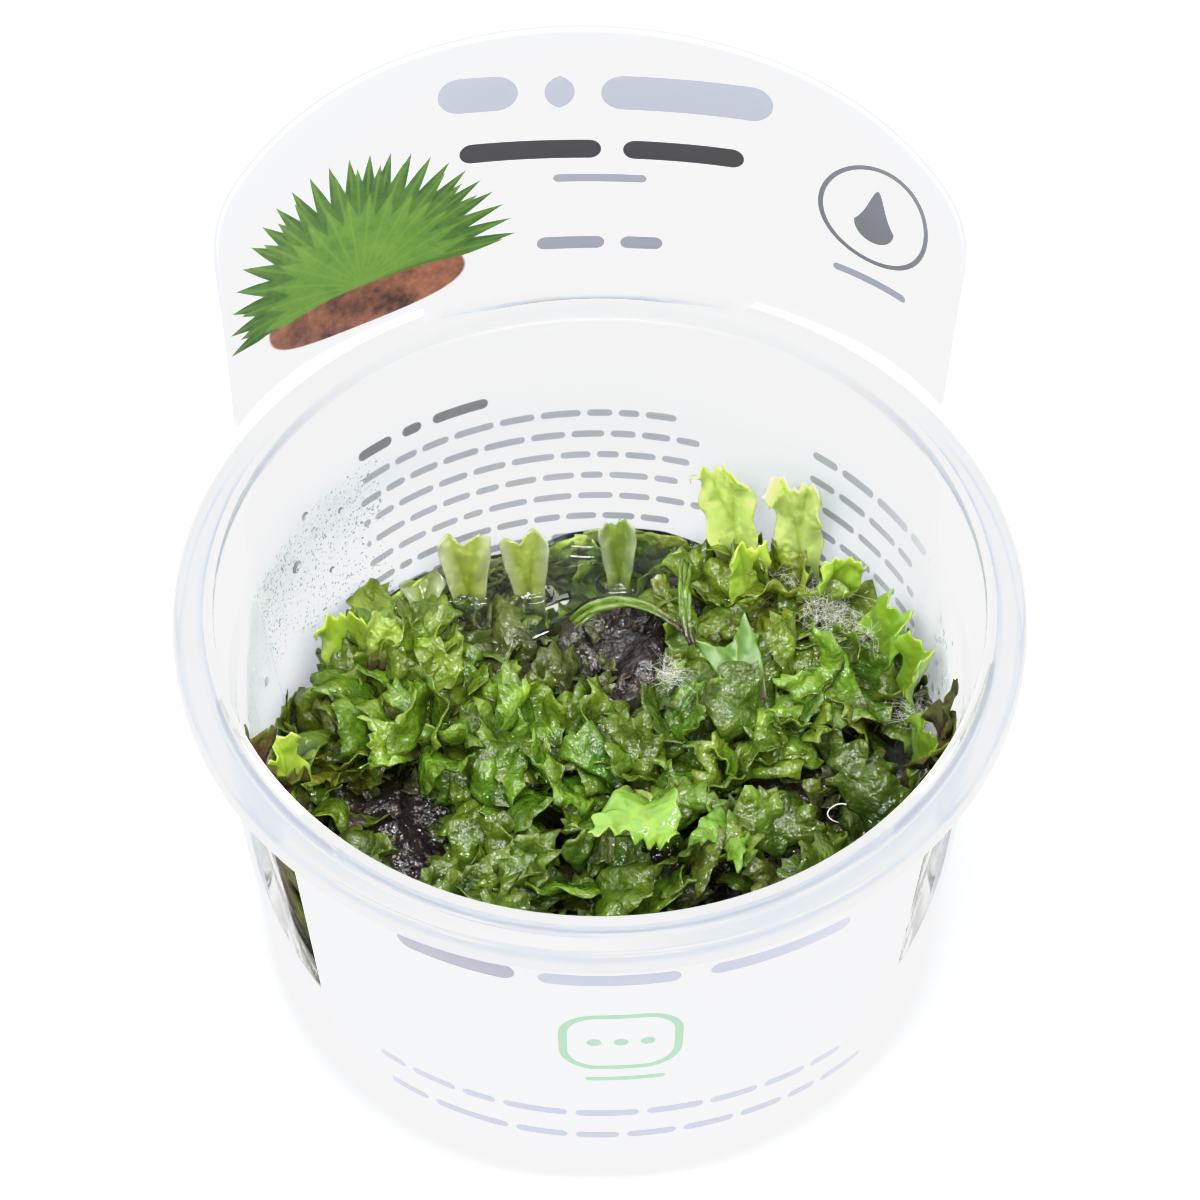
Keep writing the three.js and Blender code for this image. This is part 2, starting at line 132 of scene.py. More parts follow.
def turned(profile, segments):
    """A profile of (radius, height) that starts and ends on the axis, carried round it.

    Point (i, k) is radius_i * (sin a_k, cos a_k), height_i, with a_k = -2 pi k / segments.
    """
    ring = profile[1:-1]
    angle = -np.arange(segments) / segments * 2 * np.pi
    x = ring[:, 0][:, None] * np.sin(angle)
    y = ring[:, 0][:, None] * np.cos(angle)
    z = np.broadcast_to(ring[:, 1][:, None], x.shape)
    points = np.stack([x, y, z], axis=-1).reshape(-1, 3)
    ends = np.array([[0, 0, profile[0][1]], [0, 0, profile[-1][1]]])
    quads = grid_quads(len(ring), segments, wrap_columns=True)
    this = np.arange(segments)
    following = (this + 1) % segments
    first, last = len(points), len(points) + 1
    top = (len(ring) - 1) * segments
    start_fan = np.stack([np.full(segments, first), following, this], axis=-1)
    end_fan = np.stack([np.full(segments, last), top + this, top + following], axis=-1)
    return np.vstack([points, ends]), [quads, start_fan, end_fan]


def rounded(corners, radius, steps=4):
    """A path of (radius, height) with each inner corner P swapped for the curve
    (1-t)^2 A + 2t(1-t) P + t^2 B, where A and B lie up to `radius` before and after P."""
    path = np.array([c[:2] for c in corners], float)
    reach = np.array([c[2] if len(c) > 2 else radius for c in corners], float)[1:-1, None]
    middle, before, after = path[1:-1], path[:-2] - path[1:-1], path[2:] - path[1:-1]
    length_before = np.linalg.norm(before, axis=1, keepdims=True)
    length_after = np.linalg.norm(after, axis=1, keepdims=True)
    start = middle + before / length_before * np.minimum(reach, 0.45 * length_before)
    end = middle + after / length_after * np.minimum(reach, 0.45 * length_after)
    t = np.linspace(0, 1, steps + 1)[None, :, None]
    curve = (1 - t) ** 2 * start[:, None] + 2 * t * (1 - t) * middle[:, None] + t ** 2 * end[:, None]
    return np.vstack([path[:1], curve.reshape(-1, 2), path[-1:]])


def thick_sheet(front, back, quads):
    """A closed sheet: the quads on the front points, the same ones turned round on the back points,
    and a wall quad along each edge that only one quad has."""
    count = len(front)
    edges = np.concatenate([quads[:, [k, (k + 1) % 4]] for k in range(4)])
    codes = edges[:, 0] * count + edges[:, 1]
    reverse = edges[:, 1] * count + edges[:, 0]
    rim = edges[~np.isin(reverse, codes)]
    walls = np.stack([rim[:, 1], rim[:, 0], rim[:, 0] + count, rim[:, 1] + count], axis=-1)
    return np.vstack([front, back]), [quads, quads[:, ::-1] + count, walls]


def put(name, points, faces, materials, replaces=(), tint=None,
        material_index=None, print_map=None):
    """Makes a piece of points in millimetres and arrays of faces, and lets it ride on the root body.

    tint is a colour for each point; print_map is (degrees, millimetres) for each corner of each face.
    """
    mesh = bpy.data.meshes.new(name)
    mesh.vertices.add(len(points))
    mesh.vertices.foreach_set("co", (np.asarray(points) * MM).astype(np.float32).ravel())
    corners = np.concatenate([part.ravel() for part in faces])
    sizes = np.concatenate([np.full(len(part), part.shape[1]) for part in faces])
    mesh.loops.add(len(corners))
    mesh.loops.foreach_set("vertex_index", corners.astype(np.int32))
    mesh.polygons.add(len(sizes))
    mesh.polygons.foreach_set("loop_start", (np.cumsum(sizes) - sizes).astype(np.int32))
    mesh.polygons.foreach_set("use_smooth", np.ones(len(sizes), bool))
    for material in materials:
        mesh.materials.append(material)
    if material_index is not None:
        mesh.polygons.foreach_set("material_index", material_index.astype(np.int32))
    if tint is not None:
        colours = np.column_stack([tint, np.ones(len(tint))]).astype(np.float32)
        attribute = mesh.attributes.new("tint", "FLOAT_COLOR", "POINT")
        attribute.data.foreach_set("color", colours.ravel())
    if print_map is not None:
        spots = np.column_stack([print_map, np.zeros(len(print_map))]).astype(np.float32)
        attribute = mesh.attributes.new("print_map", "FLOAT_VECTOR", "CORNER")
        attribute.data.foreach_set("vector", spots.ravel())
    mesh.update(calc_edges=True)
    piece = bpy.data.objects.new(name, mesh)
    bpy.context.scene.collection.objects.link(piece)
    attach(piece, "root")
    if replaces:
        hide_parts(*replaces)
    return piece


# Materials

class Field:
    """A number that varies over a surface; arithmetic on it adds Math nodes to the material's tree."""

    def __init__(self, tree, value):
        self.tree = tree
        self.value = value

    def math(self, operation, *others, clamp=False):
        """A Math node of this Field and the others, which may be Fields, sockets or numbers."""
        node = self.tree.nodes.new("ShaderNodeMath")
        node.operation = operation
        node.use_clamp = clamp
        for socket, given in zip(node.inputs, (self, *others)):
            value = given.value if isinstance(given, Field) else given
            if isinstance(value, bpy.types.NodeSocket):
                self.tree.links.new(value, socket)
            else:
                socket.default_value = value
        return Field(self.tree, node.outputs[0])

    def __add__(self, other):
        return self.math("ADD", other)

    def __sub__(self, other):
        return self.math("SUBTRACT", other)

    def __mul__(self, other):
        return self.math("MULTIPLY", other)

    def __truediv__(self, other):
        return self.math("DIVIDE", other)

    def above(self, edge, soft):
        """0 below the edge, 1 above it, with a soft step of that width."""
        return self.math("MULTIPLY_ADD", 1 / soft, 0.5 - edge / soft, clamp=True)

    def below(self, edge, soft):
        """1 below the edge, 0 above it."""
        return self.math("MULTIPLY_ADD", -1 / soft, 0.5 + edge / soft, clamp=True)

    def between(self, low, high, soft):
        """1 from low to high, 0 outside them."""
        return self.above(low, soft) * self.below(high, soft)

    def most(self, other):
        """The larger of the two."""
        return self.math("MAXIMUM", other)

    def size(self):
        """The number without its sign."""
        return self.math("ABSOLUTE")


def distance(across, up):
    """Length of the vector (across, up)."""
    return (across * across + up * up).math("SQRT")


def new_material(name, **shader):
    """A node material; shader gives the Principled sockets that are the same all over."""
    material = bpy.data.materials.new(name)
    material.use_nodes = True
    tree = material.node_tree
    principled = next(n for n in tree.nodes if n.type == "BSDF_PRINCIPLED")
    for socket, value in shader.items():
        principled.inputs[socket.replace("_", " ")].default_value = value
    return material, tree, principled


def coordinates(tree):
    """Object coordinates as three Fields in millimetres, and the vector socket itself."""
    texture = tree.nodes.new("ShaderNodeTexCoord")
    split = tree.nodes.new("ShaderNodeSeparateXYZ")
    tree.links.new(texture.outputs["Object"], split.inputs[0])
    fields = [Field(tree, socket) / MM for socket in split.outputs]
    return fields, texture.outputs["Object"]


def noise(tree, vector, scale, detail=3.0, roughness=0.5):
    """Noise of about `scale` cells to the metre, from 0 to 1."""
    node = tree.nodes.new("ShaderNodeTexNoise")
    tree.links.new(vector, node.inputs["Vector"])
    node.inputs["Scale"].default_value = scale
    node.inputs["Detail"].default_value = detail
    node.inputs["Roughness"].default_value = roughness
    return Field(tree, node.outputs["Fac"])


def mix_colour(tree, factor, first, second, blend="MIX"):
    """The colour that lies at the factor between the first and the second."""
    node = tree.nodes.new("ShaderNodeMix")
    node.data_type = "RGBA"
    node.blend_type = blend
    inputs = [s for s in node.inputs if s.enabled]
    for socket, given in zip(inputs, (factor, first, second)):
        value = given.value if isinstance(given, Field) else given
        if isinstance(value, bpy.types.NodeSocket):
            tree.links.new(value, socket)
        else:
            socket.default_value = value
    return next(s for s in node.outputs if s.enabled)


def bump(tree, principled, height, strength, distance):
    """Bends the normal as if a height of 1 stood out by the distance, in millimetres."""
    node = tree.nodes.new("ShaderNodeBump")
    node.inputs["Strength"].default_value = strength
    node.inputs["Distance"].default_value = distance * MM
    tree.links.new(height.value, node.inputs["Height"])
    tree.links.new(node.outputs[0], principled.inputs["Normal"])


# Tub

def tub_outside(height):
    """Radius of the wall's outer cone."""
    return TUB_FOOT_RADIUS + TUB_DRAFT * height


LEDGE_INSIDE = tub_outside(LEDGE_HEIGHT) - WALL - LEDGE_WIDTH
# Degrees from the back's middle between which the wall shows beside the sleeve, and where that starts
CLEAREST_FROM = 103
CLEAREST_TO = 136
CLEAREST_FOOT = 8


def tub_inside(height):
    """Radius of the wall's inner cone below the ledge."""
    return LEDGE_INSIDE - TUB_DRAFT * (LEDGE_HEIGHT - height)


def make_tub():
    """The wall's profile with every moulded edge rounded, turned about the axis.

    Its faces have one of four finishes: the wall, the flat rim, the wall where the sleeve leaves it bare,
    and the ring round the mouth.
    """
    under_rim = RIM_HEIGHT - RIM_THICKNESS
    mouth = tub_outside(RIM_HEIGHT) - WALL
    profile = rounded([
        (0, 0.6),
        (TUB_FOOT_RADIUS - 6, 0.6, 0.3),
        (TUB_FOOT_RADIUS - 5, 0, 0.4),
        (TUB_FOOT_RADIUS, 0, 1.3),
        (tub_outside(2), 2, 0.6),
        (tub_outside(under_rim - 0.4), under_rim - 0.4, 0.5),
        (tub_outside(under_rim) + 0.5, under_rim, 0.4),
        (RIM_RADIUS - LIP_WIDTH, under_rim, 0.3),
        (RIM_RADIUS - LIP_WIDTH, RIM_HEIGHT - LIP_DROP, 0.2),
        (RIM_RADIUS, RIM_HEIGHT - LIP_DROP, 0.3),
        (RIM_RADIUS, RIM_HEIGHT, 0.9),
        (mouth + BEAD_WIDTH + 0.5, RIM_HEIGHT, 0.4),
        (mouth + BEAD_WIDTH * 0.75, RIM_HEIGHT + BEAD_HEIGHT, 0.5),
        (mouth + BEAD_WIDTH * 0.1, RIM_HEIGHT + BEAD_HEIGHT, 0.4),
        (mouth - 0.15, RIM_HEIGHT - 0.6, 0.5),
        (tub_outside(LEDGE_HEIGHT + 1.4) - WALL, LEDGE_HEIGHT + 1.4, 0.7),
        (tub_inside(LEDGE_HEIGHT - 0.9), LEDGE_HEIGHT - 0.9, 0.8),
        (tub_inside(FLOOR + 0.8), FLOOR + 0.8, 1.8),
        (tub_inside(3) - 1.4, FLOOR, 1.2),
        (0, FLOOR),
    ], 0.3, steps=4)
    points, faces = turned(profile, 180)
    x, y, z = np.concatenate([points[part].mean(axis=1) for part in faces]).T
    out = np.hypot(x, y)
    away = np.degrees(np.abs(np.arctan2(x, y)))
    flange = (z > under_rim - 1.5) & (out > mouth - 0.6)
    mouth_ring = flange & (out < mouth + BEAD_WIDTH + 0.1)
    bare = (away > CLEAREST_FROM) & (away < CLEAREST_TO) & (z > CLEAREST_FOOT) & ~flange
    materials = [
        wall_plastic("clear_wall_plastic", 0.93, 1.15, 0.24),
        flange_plastic(),
        wall_plastic("clearest_wall_plastic", 1.0, 1.004, 0, (0.9, 0.89, 0.82, 1)),
        wall_plastic("mouth_ring_plastic", 0.8, 1.25),
    ]
    index = flange + 2 * bare + 2 * mouth_ring
    return put("tub_moulded", points, faces, materials, ["tub"],
               material_index=index)


def wall_plastic(name, clear, ior, milky_sides=0, colour=(0.97, 0.975, 0.98, 1)):
    """Clear plastic with faint flow marks; its sides can be milkier than its back and front."""
    material, tree, principled = new_material(name, Base_Color=colour, IOR=ior, Roughness=0.04)
    split, vector = coordinates(tree)
    at_side = split[1].between(-12, 16, 14)
    clearness = at_side * -milky_sides + clear
    tree.links.new(clearness.value, principled.inputs["Transmission Weight"])
    bump(tree, principled, noise(tree, vector, 60, 2), 0.1, 0.2)
    return material


def flange_plastic():
    """The same plastic where the rim's thickness makes it milkier and bluer, painted darker towards the
    front and paler before the panel: painted shade and painted light.
    """
    material, tree, principled = new_material(
        "milky_rim_plastic", Transmission_Weight=0.42, IOR=1.4, Roughness=0.12)
    split, vector = coordinates(tree)
    painted_light_at_panel = split[1].above(26, 22)
    # Painted shade and light: the darker blue grey at the front turns to the paler colour from y = 15 mm to
    # y = 37 mm, before the panel
    colour = mix_colour(tree, painted_light_at_panel, (0.31, 0.328, 0.37, 1), (0.62, 0.64, 0.67, 1))
    tree.links.new(colour, principled.inputs["Base Color"])
    bump(tree, principled, noise(tree, vector, 60, 2), 0.15, 0.2)
    return material


# Card sleeve

def card_inside(height):
    """Radius of the sleeve's inner face where it lies along the wall."""
    return tub_outside(height) + CARD_GAP


def smooth(value, low, high):
    """0 up to low, 1 from high on, and 3p^2 - 2p^3 at the part p of the way between them."""
    part = np.clip((value - low) / (high - low), 0, 1)
    return part * part * (3 - 2 * part)


def sleeve_point(angle, height):
    """On the wall's cone, and near the rim from there out to just past the lip.

    r = cone + flare * (plan - cone), where the plan grows from the cone by sin^2 of the angle.
    """
    away = np.abs(angle)
    past_lip = RIM_RADIUS + 0.6
    turned_out = np.sin(np.minimum(away / 52, 1) * np.pi / 2) ** 2
    plan = card_inside(RIM_HEIGHT) + (past_lip - card_inside(RIM_HEIGHT)) * turned_out
    flare = smooth(height, 37, 45) * (1 - smooth(away, PANEL_ANGLE + 4, 88))
    radius = card_inside(height) + flare * (plan - card_inside(height))
    turn = np.radians(angle)
    return np.stack([radius * np.sin(turn), radius * np.cos(turn), height + 0 * radius], axis=-1)


def panel_point(angle, rise):
    """Between the rim's plan and a gentle arc, mixed by (rise / height)^1.8; it leans, twists and moves
    aside as it rises."""
    along = PANEL_HALF_WIDTH * angle / PANEL_ANGLE
    low = sleeve_point(angle, np.full_like(angle, RIM_HEIGHT, dtype=float))
    middle = card_inside(RIM_HEIGHT)
    turn = along / PANEL_TOP_RADIUS
    climb = rise / PANEL_HEIGHT
    relax = climb ** 1.8
    x = low[..., 0] + relax * (PANEL_TOP_RADIUS * np.sin(turn) - low[..., 0])
    arc = -PANEL_TOP_RADIUS * (1 - np.cos(turn))
    y = low[..., 1] - middle + relax * (arc + middle - low[..., 1])
    twist = np.radians(PANEL_TWIST) * climb ** 0.7
    lean = math.radians(PANEL_LEAN)
    return np.stack([
        x * np.cos(twist) - y * np.sin(twist) + PANEL_SHIFT * climb ** 0.7,
        x * np.sin(twist) + y * np.cos(twist) + middle + rise * math.sin(lean),
        RIM_HEIGHT + rise * math.cos(lean),
    ], axis=-1)


def panel_edge(angle):
    """Height of the panel's arched edge above the rim, with its rounded corners."""
    along = np.abs(PANEL_HALF_WIDTH * angle / PANEL_ANGLE)
    arch_foot = PANEL_HEIGHT - PANEL_ARCH_RADIUS
    corner_x = PANEL_HALF_WIDTH - PANEL_CORNER_RADIUS
    reach = PANEL_ARCH_RADIUS - PANEL_CORNER_RADIUS
    corner_y = arch_foot + math.sqrt(reach ** 2 - corner_x ** 2)
    arch = arch_foot + np.sqrt(PANEL_ARCH_RADIUS ** 2 - along ** 2)
    out = np.clip(along - corner_x, 0, PANEL_CORNER_RADIUS)
    corner = corner_y + np.sqrt(PANEL_CORNER_RADIUS ** 2 - out ** 2)
    return np.where(along < corner_x * PANEL_ARCH_RADIUS / reach, arch, corner)


def sleeve_edge(angle):
    """The sleeve's upper edge: level at the front, and beside the panel a curve that falls to the notch's
    foot."""
    away = np.abs(angle)
    climb = np.clip((NOTCH_ANGLE - away) / (NOTCH_ANGLE - PANEL_ANGLE), 0, 1)
    low = NOTCH_FOOT + (SLOT_FOOT - NOTCH_FOOT) * climb ** NOTCH_CURVE
    return np.where(away > NOTCH_ANGLE, SLEEVE_FRONT_TOP, low)


def make_sleeve():
    """One sheet of card over a grid of angle and height, open at the slot and beside the panel."""
    half = np.concatenate([
        np.linspace(0, SLOT_ANGLE, 27),
        np.linspace(SLOT_ANGLE, 50, 8)[1:],
        np.linspace(50, PANEL_ANGLE, 15)[1:],
        np.linspace(PANEL_ANGLE, NOTCH_ANGLE - 0.03, 48)[1:],
        np.linspace(NOTCH_ANGLE + 0.03, 178, 34),
    ])
    angles = np.concatenate([-half[:0:-1], half, [180]])
    low_rows = np.concatenate([np.linspace(0, 0.8, 10), np.linspace(0.8, 1, 9)[1:]])
    high_rows = 1 - (1 - np.linspace(0, 1, 25)) ** 1.3
    grid_angle, part = np.meshgrid(angles, low_rows)
    low = sleeve_point(grid_angle, SLEEVE_FOOT + (sleeve_edge(grid_angle) - SLEEVE_FOOT) * part)
    grid_angle, part = np.meshgrid(np.clip(angles, -PANEL_ANGLE, PANEL_ANGLE), high_rows)
    foot = SLOT_HEAD - RIM_HEIGHT - 0.6 * smooth(np.abs(grid_angle), 22, 36)
    high = panel_point(grid_angle, foot + (panel_edge(grid_angle) - foot) * part)
    surface = np.concatenate([low, high])
    rows, columns = surface.shape[:2]
    along = np.roll(surface, -1, axis=1) - np.roll(surface, 1, axis=1)
    away = np.abs(angles)
    end = np.isclose(away, PANEL_ANGLE)
    right = (angles > 0)[None, :, None]
    inner_side = surface - np.where(right, np.roll(surface, 1, axis=1), np.roll(surface, -1, axis=1))
    along = np.where(end[None, :, None], inner_side * np.where(right, 1, -1), along)
    outward = np.stack([-along[..., 1], along[..., 0], 0 * along[..., 0]], axis=-1)
    outward /= np.maximum(np.linalg.norm(outward, axis=-1, keepdims=True), 1e-9)
    outer = surface + CARD * outward
    quads = grid_quads(rows, columns, wrap_columns=True)
    row, column = quads[:, 0] // columns, quads[:, 0] % columns
    beside = (column + 1) % columns
    farther = np.maximum(away[column], away[beside])
    nearer = np.minimum(away[column], away[beside])
    crossing = len(low_rows) - 1
    in_slot = (row == crossing) & (nearer < SLOT_ANGLE - 1e-6)
    beside_panel = (row >= crossing) & (farther > PANEL_ANGLE + 1e-6)
    quads = quads[~(in_slot | beside_panel)]
    points, faces = thick_sheet(surface.reshape(-1, 3), outer.reshape(-1, 3), quads)
    height = np.concatenate([low[..., 2], RIM_HEIGHT + foot + (panel_edge(grid_angle) - foot) * part])
    print_map = np.concatenate([
        sleeve_print_map(part, angles, height, columns, side) for side, part in enumerate(faces)])
    used, spot = np.unique(np.concatenate([part.ravel() for part in faces]), return_inverse=True)
    cuts = np.cumsum([part.size for part in faces])[:-1]
    faces = [part.reshape(-1, 4) for part in np.split(spot, cuts)]
    index = np.concatenate([np.full(len(part), side) for side, part in enumerate(faces)])
    materials = [card_inner_face(), card_outer_face(), card_edge()]
    return put("card_sleeve", points[used], faces, materials, ["label_sleeve"],
               material_index=index, print_map=print_map)


def sleeve_print_map(faces, angles, height, columns, side):
    """(degrees, height) of each corner, growing to the right as a face is read, with no jump inside one.

    The degrees count from the back's middle on the inner side 0, and from the front's on the outer side 1.
    """
    spot = faces % height.size
    angle = angles[spot % columns]
    angle = np.where((angle < 0) & (angle.max(axis=1, keepdims=True) > 170), angle + 360, angle)
    if side == 1:
        left = angle.mean(axis=1, keepdims=True) < 0
        angle = np.where(left, -180 - angle, 180 - angle)
    return np.column_stack([angle.ravel(), height.ravel()[spot.ravel()]])


# Print: rounded bars stand where a label has its words; places are (degrees, millimetres) on the card
# Millimetres along the card for each degree round it, and how soft the edge of the ink is
DEGREE = 0.65
SOFT = 0.16
INK_TITLE = (0.21, 0.22, 0.255, 1)
INK_DARK = (0.03, 0.028, 0.033, 1)
INK_GREY = (0.17, 0.18, 0.215, 1)
INK_FRONT = (0.085, 0.09, 0.115, 1)
INK_PALE = (0.13, 0.14, 0.18, 1)
INK_INNER = (0.28, 0.29, 0.34, 1)
INK_GREEN = (0.085, 0.17, 0.1, 1)
INK_SYMBOL = (0.09, 0.092, 0.105, 1)
INK_LEAF_PALE = (0.1, 0.18, 0.03, 1)
INK_LEAF_DARK = (0.02, 0.055, 0.012, 1)
INK_EARTH_PALE = (0.2, 0.085, 0.05, 1)
INK_EARTH_DARK = (0.028, 0.013, 0.012, 1)
# Fans of leaves: number, length, half width, turn, darkest and palest ink
LEAF_FANS = [
    (23, 15.4, 1.0, 0.05, (0.012, 0.035, 0.01, 1), (0.05, 0.1, 0.02, 1)),
    (19, 14.0, 1.1, 0.0, INK_LEAF_DARK, (0.07, 0.13, 0.025, 1)),
    (15, 10.6, 1.1, 0.1, (0.04, 0.1, 0.018, 1), INK_LEAF_PALE),
]
# Bars: left and right in degrees, foot and head in millimetres, ink
PANEL_WORDS = [
    (-22, -10.5, 72.9, 77.2, INK_TITLE),
    (-7, -2.5, 72.9, 77.2, INK_TITLE),
    (1, 25.5, 72.9, 77.2, INK_TITLE),
    (-19, 1.5, 66.8, 69.2, INK_DARK),
    (4.5, 22, 66.8, 69.2, INK_DARK),
    (-5.5, 8.3, 63.8, 64.9, INK_GREY),
    (-7.6, 2.6, 55.2, 56.9, INK_GREY),
    (4.8, 11.2, 55.2, 56.9, INK_GREY),
    (36, 48, 57.2, 58.2, INK_GREY),
]
INNER_HEADING = [
    (-39, -32.5, 35.7, 37, INK_DARK),
    (-30.5, -27, 35.7, 37, INK_DARK),
    (-25, -15.5, 35.7, 37, INK_DARK),
]
FRONT_WORDS = [
    (-32.5, -14.5, 38.6, 41.6, INK_FRONT),
    (-11.5, 9, 38.9, 41.1, INK_PALE),
    (13, 36, 38.9, 41.1, INK_PALE),
    (-5, 7.5, 20.2, 21.2, INK_GREEN),
]
# Rows of bars: left and right in degrees, foot, pitch, number, height and length of a bar, seed
INNER_ROWS = [
    (-40, 20, 14, 2.95, 7, 0.95, 4.2, 3),
    (39, 68, 20, 3.3, 5, 0.95, 4.2, 11),
]
FRONT_ROWS = (-40, 46, 6.6, 4.6, 2, 1.5, 6.2, 8)
# Half the gap between two bars of a row, and how far the rows' ends sway
HALF_GAP = 0.32
RAGGED = 1.6


def printed_bars(s, t, colour, bars):
    """Inks each bar over the colour: what lies within half the bar's height of its middle line."""
    for left, right, foot, head, ink in bars:
        left, right = left * DEGREE, right * DEGREE
        radius = (head - foot) / 2
        across = ((s - (left + right) / 2).size() - ((right - left) / 2 - radius)).most(0)
        bar = distance(across, t - (foot + head) / 2).below(radius, SOFT)
        colour = mix_colour(s.tree, bar, colour, ink)
    return colour


def bar_rows(s, t, left, right, foot, pitch, rows, height, word, seed):
    """Rows of rounded bars of uneven length: a row of cells is cut at random places, and each bar keeps
    half a gap from its cell's ends; the last bar of a row ends early by a sine of the row's number."""
    tree, radius = s.tree, height / 2
    left, right = left * DEGREE, right * DEGREE
    row = (t - foot) / pitch
    number = row.math("FLOOR")
    cells = tree.nodes.new("ShaderNodeTexVoronoi")
    cells.voronoi_dimensions = "1D"
    cells.feature = "DISTANCE_TO_EDGE"
    cells.inputs["Scale"].default_value = 1
    tree.links.new((s / word + number * 5.7 + seed).value, cells.inputs["W"])
    edge = Field(tree, cells.outputs["Distance"]) * word
    end = (number * 2.4 + seed).math("SINE") * RAGGED - (RAGGED - right)
    outside = (s * -1 + left).most(s - end)
    across = (edge * -1 + (radius + HALF_GAP)).most(outside + radius).most(0)
    up = (row.math("FRACT") - 0.5) * pitch
    return distance(across, up).below(radius, SOFT) * t.between(foot, foot + rows * pitch, 0.02)


def ring(s, t, x, y, radius, stroke):
    """A circle's line: what lies within half the stroke of the radius."""
    return (distance(s - x, t - y) - radius).size().below(stroke / 2, SOFT)


def drop(s, t, x, y, radius):
    """A drop: a circle whose upper half is stretched upwards and narrows to a point."""
    up = (t - y).most(0)
    down = (t - y) - up
    return distance((s - x) * (up * (0.9 / radius) + 1), up * 0.5 + down * -1).below(radius, SOFT)


def leaf_fan(s, t, x, y, count, length, width, spread, turn):
    """Leaves round (x, y): at distance q along a leaf its half width is width * sin(pi q / length)."""
    across, up = s - x, t - y
    angle = across.math("ARCTAN2", up) + turn
    step = 2 * spread / count
    part = angle / step + 0.5
    own = (part.math("FRACT") - 0.5) * step
    reach = distance(across, up)
    half = (reach * (math.pi / length)).math("SINE").most(0) * width
    inside = (own.math("SINE") * reach).size() - half
    leaf = inside.below(0, SOFT) * reach.below(length, SOFT) * angle.size().below(spread, 0.01)
    midrib = (own.math("SINE") * reach).size().below(0.13, 0.1)
    return leaf, midrib


# Painted glow: the inner face emits light low down, standing in for light that comes through the card from
# outside where the plant keeps it off the inside
CARD_PAINTED_GLOW = 0.35
CARD_WHITE_LOW = (0.845, 0.875, 0.925)
CARD_WHITE_HIGH = (0.87, 0.9, 0.945)


def card_base(name, shade=1.0):
    """White coated card: a slightly uneven white, times the shade, which below 1 is painted shade, and a
    smooth coat with fine tooth.
    Gives back its nodes too, with the place on the card in millimetres as the Fields s, along it, and t, up
    it."""
    material, tree, principled = new_material(name, Roughness=0.42, Specular_IOR_Level=0.4)
    _, vector = coordinates(tree)
    bump(tree, principled, noise(tree, vector, 900, 2), 0.06, 0.05)
    # A shade below 1 darkens the white as painted shade
    low, high = ([shade * part for part in white] + [1] for white in (CARD_WHITE_LOW, CARD_WHITE_HIGH))
    white = mix_colour(tree, noise(tree, vector, 25, 2), low, high)
    attribute = tree.nodes.new("ShaderNodeAttribute")
    attribute.attribute_name = "print_map"
    split = tree.nodes.new("ShaderNodeSeparateXYZ")
    tree.links.new(attribute.outputs["Vector"], split.inputs[0])
    s, t = Field(tree, split.outputs[0]) * DEGREE, Field(tree, split.outputs[1])
    return material, tree, principled, vector, s, t, white


def card_inner_face():
    """The face towards the plant: rows of bars behind the wall, the tall panel's print, and a painted glow
    on its lower part.
    """
    material, tree, principled, vector, s, t, colour = card_base("card_printed_inner_face")
    colour = printed_bars(s, t, colour, PANEL_WORDS + INNER_HEADING)
    for rows in INNER_ROWS:
        colour = mix_colour(tree, bar_rows(s, t, *rows), colour, INK_INNER)
    colour = printed_plant(tree, vector, s, t, colour)
    symbol_x, symbol_y = 41.6 * DEGREE, 65.5
    symbol = ring(s, t, symbol_x, symbol_y, 5.4, 0.6)
    symbol = symbol.most(drop(s, t, symbol_x, symbol_y - 1.1, 2.1))
    colour = mix_colour(tree, symbol, colour, INK_SYMBOL)
    tree.links.new(colour, principled.inputs["Base Color"])
    # Painted glow: the print's colour also glows on the lower part of the face, fading out above 27 mm
    tree.links.new(colour, principled.inputs["Emission Color"])
    glow = t.below(27, 10) * CARD_PAINTED_GLOW
    tree.links.new(glow.value, principled.inputs["Emission Strength"])
    # The glow is faint, so it is left out of the sampling of lamps
    material.cycles.emission_sampling = "NONE"
    return material


def printed_plant(tree, vector, s, t, colour):
    """A small picture: three fans of narrow leaves, paler towards the front, over a rounded brown clod."""
    x, y = -33.5 * DEGREE, 55.5
    grain = noise(tree, vector, 1100, 5, 0.7)
    patches = noise(tree, vector, 260, 4, 0.6)
    clod = distance((s - x) / 10.2, (t - (y - 1)) / 4.4).below(1, 0.06)
    pale = (patches * 2.4 + grain * 1.4 - 1.45).math("MULTIPLY", 1, clamp=True)
    earth = mix_colour(tree, pale, INK_EARTH_DARK, INK_EARTH_PALE)
    colour = mix_colour(tree, clod, colour, earth)
    for count, length, width, turn, low, high in LEAF_FANS:
        leaf, midrib = leaf_fan(s, t, x, y - 0.6, count, length, width, 1.5, turn)
        pale = (grain * 1.2 + patches * 1.2 - 0.75).math("MULTIPLY", 1, clamp=True)
        green = mix_colour(tree, pale, low, high)
        green = mix_colour(tree, midrib * 0.4, green, INK_LEAF_PALE)
        colour = mix_colour(tree, leaf, colour, green)
    return colour


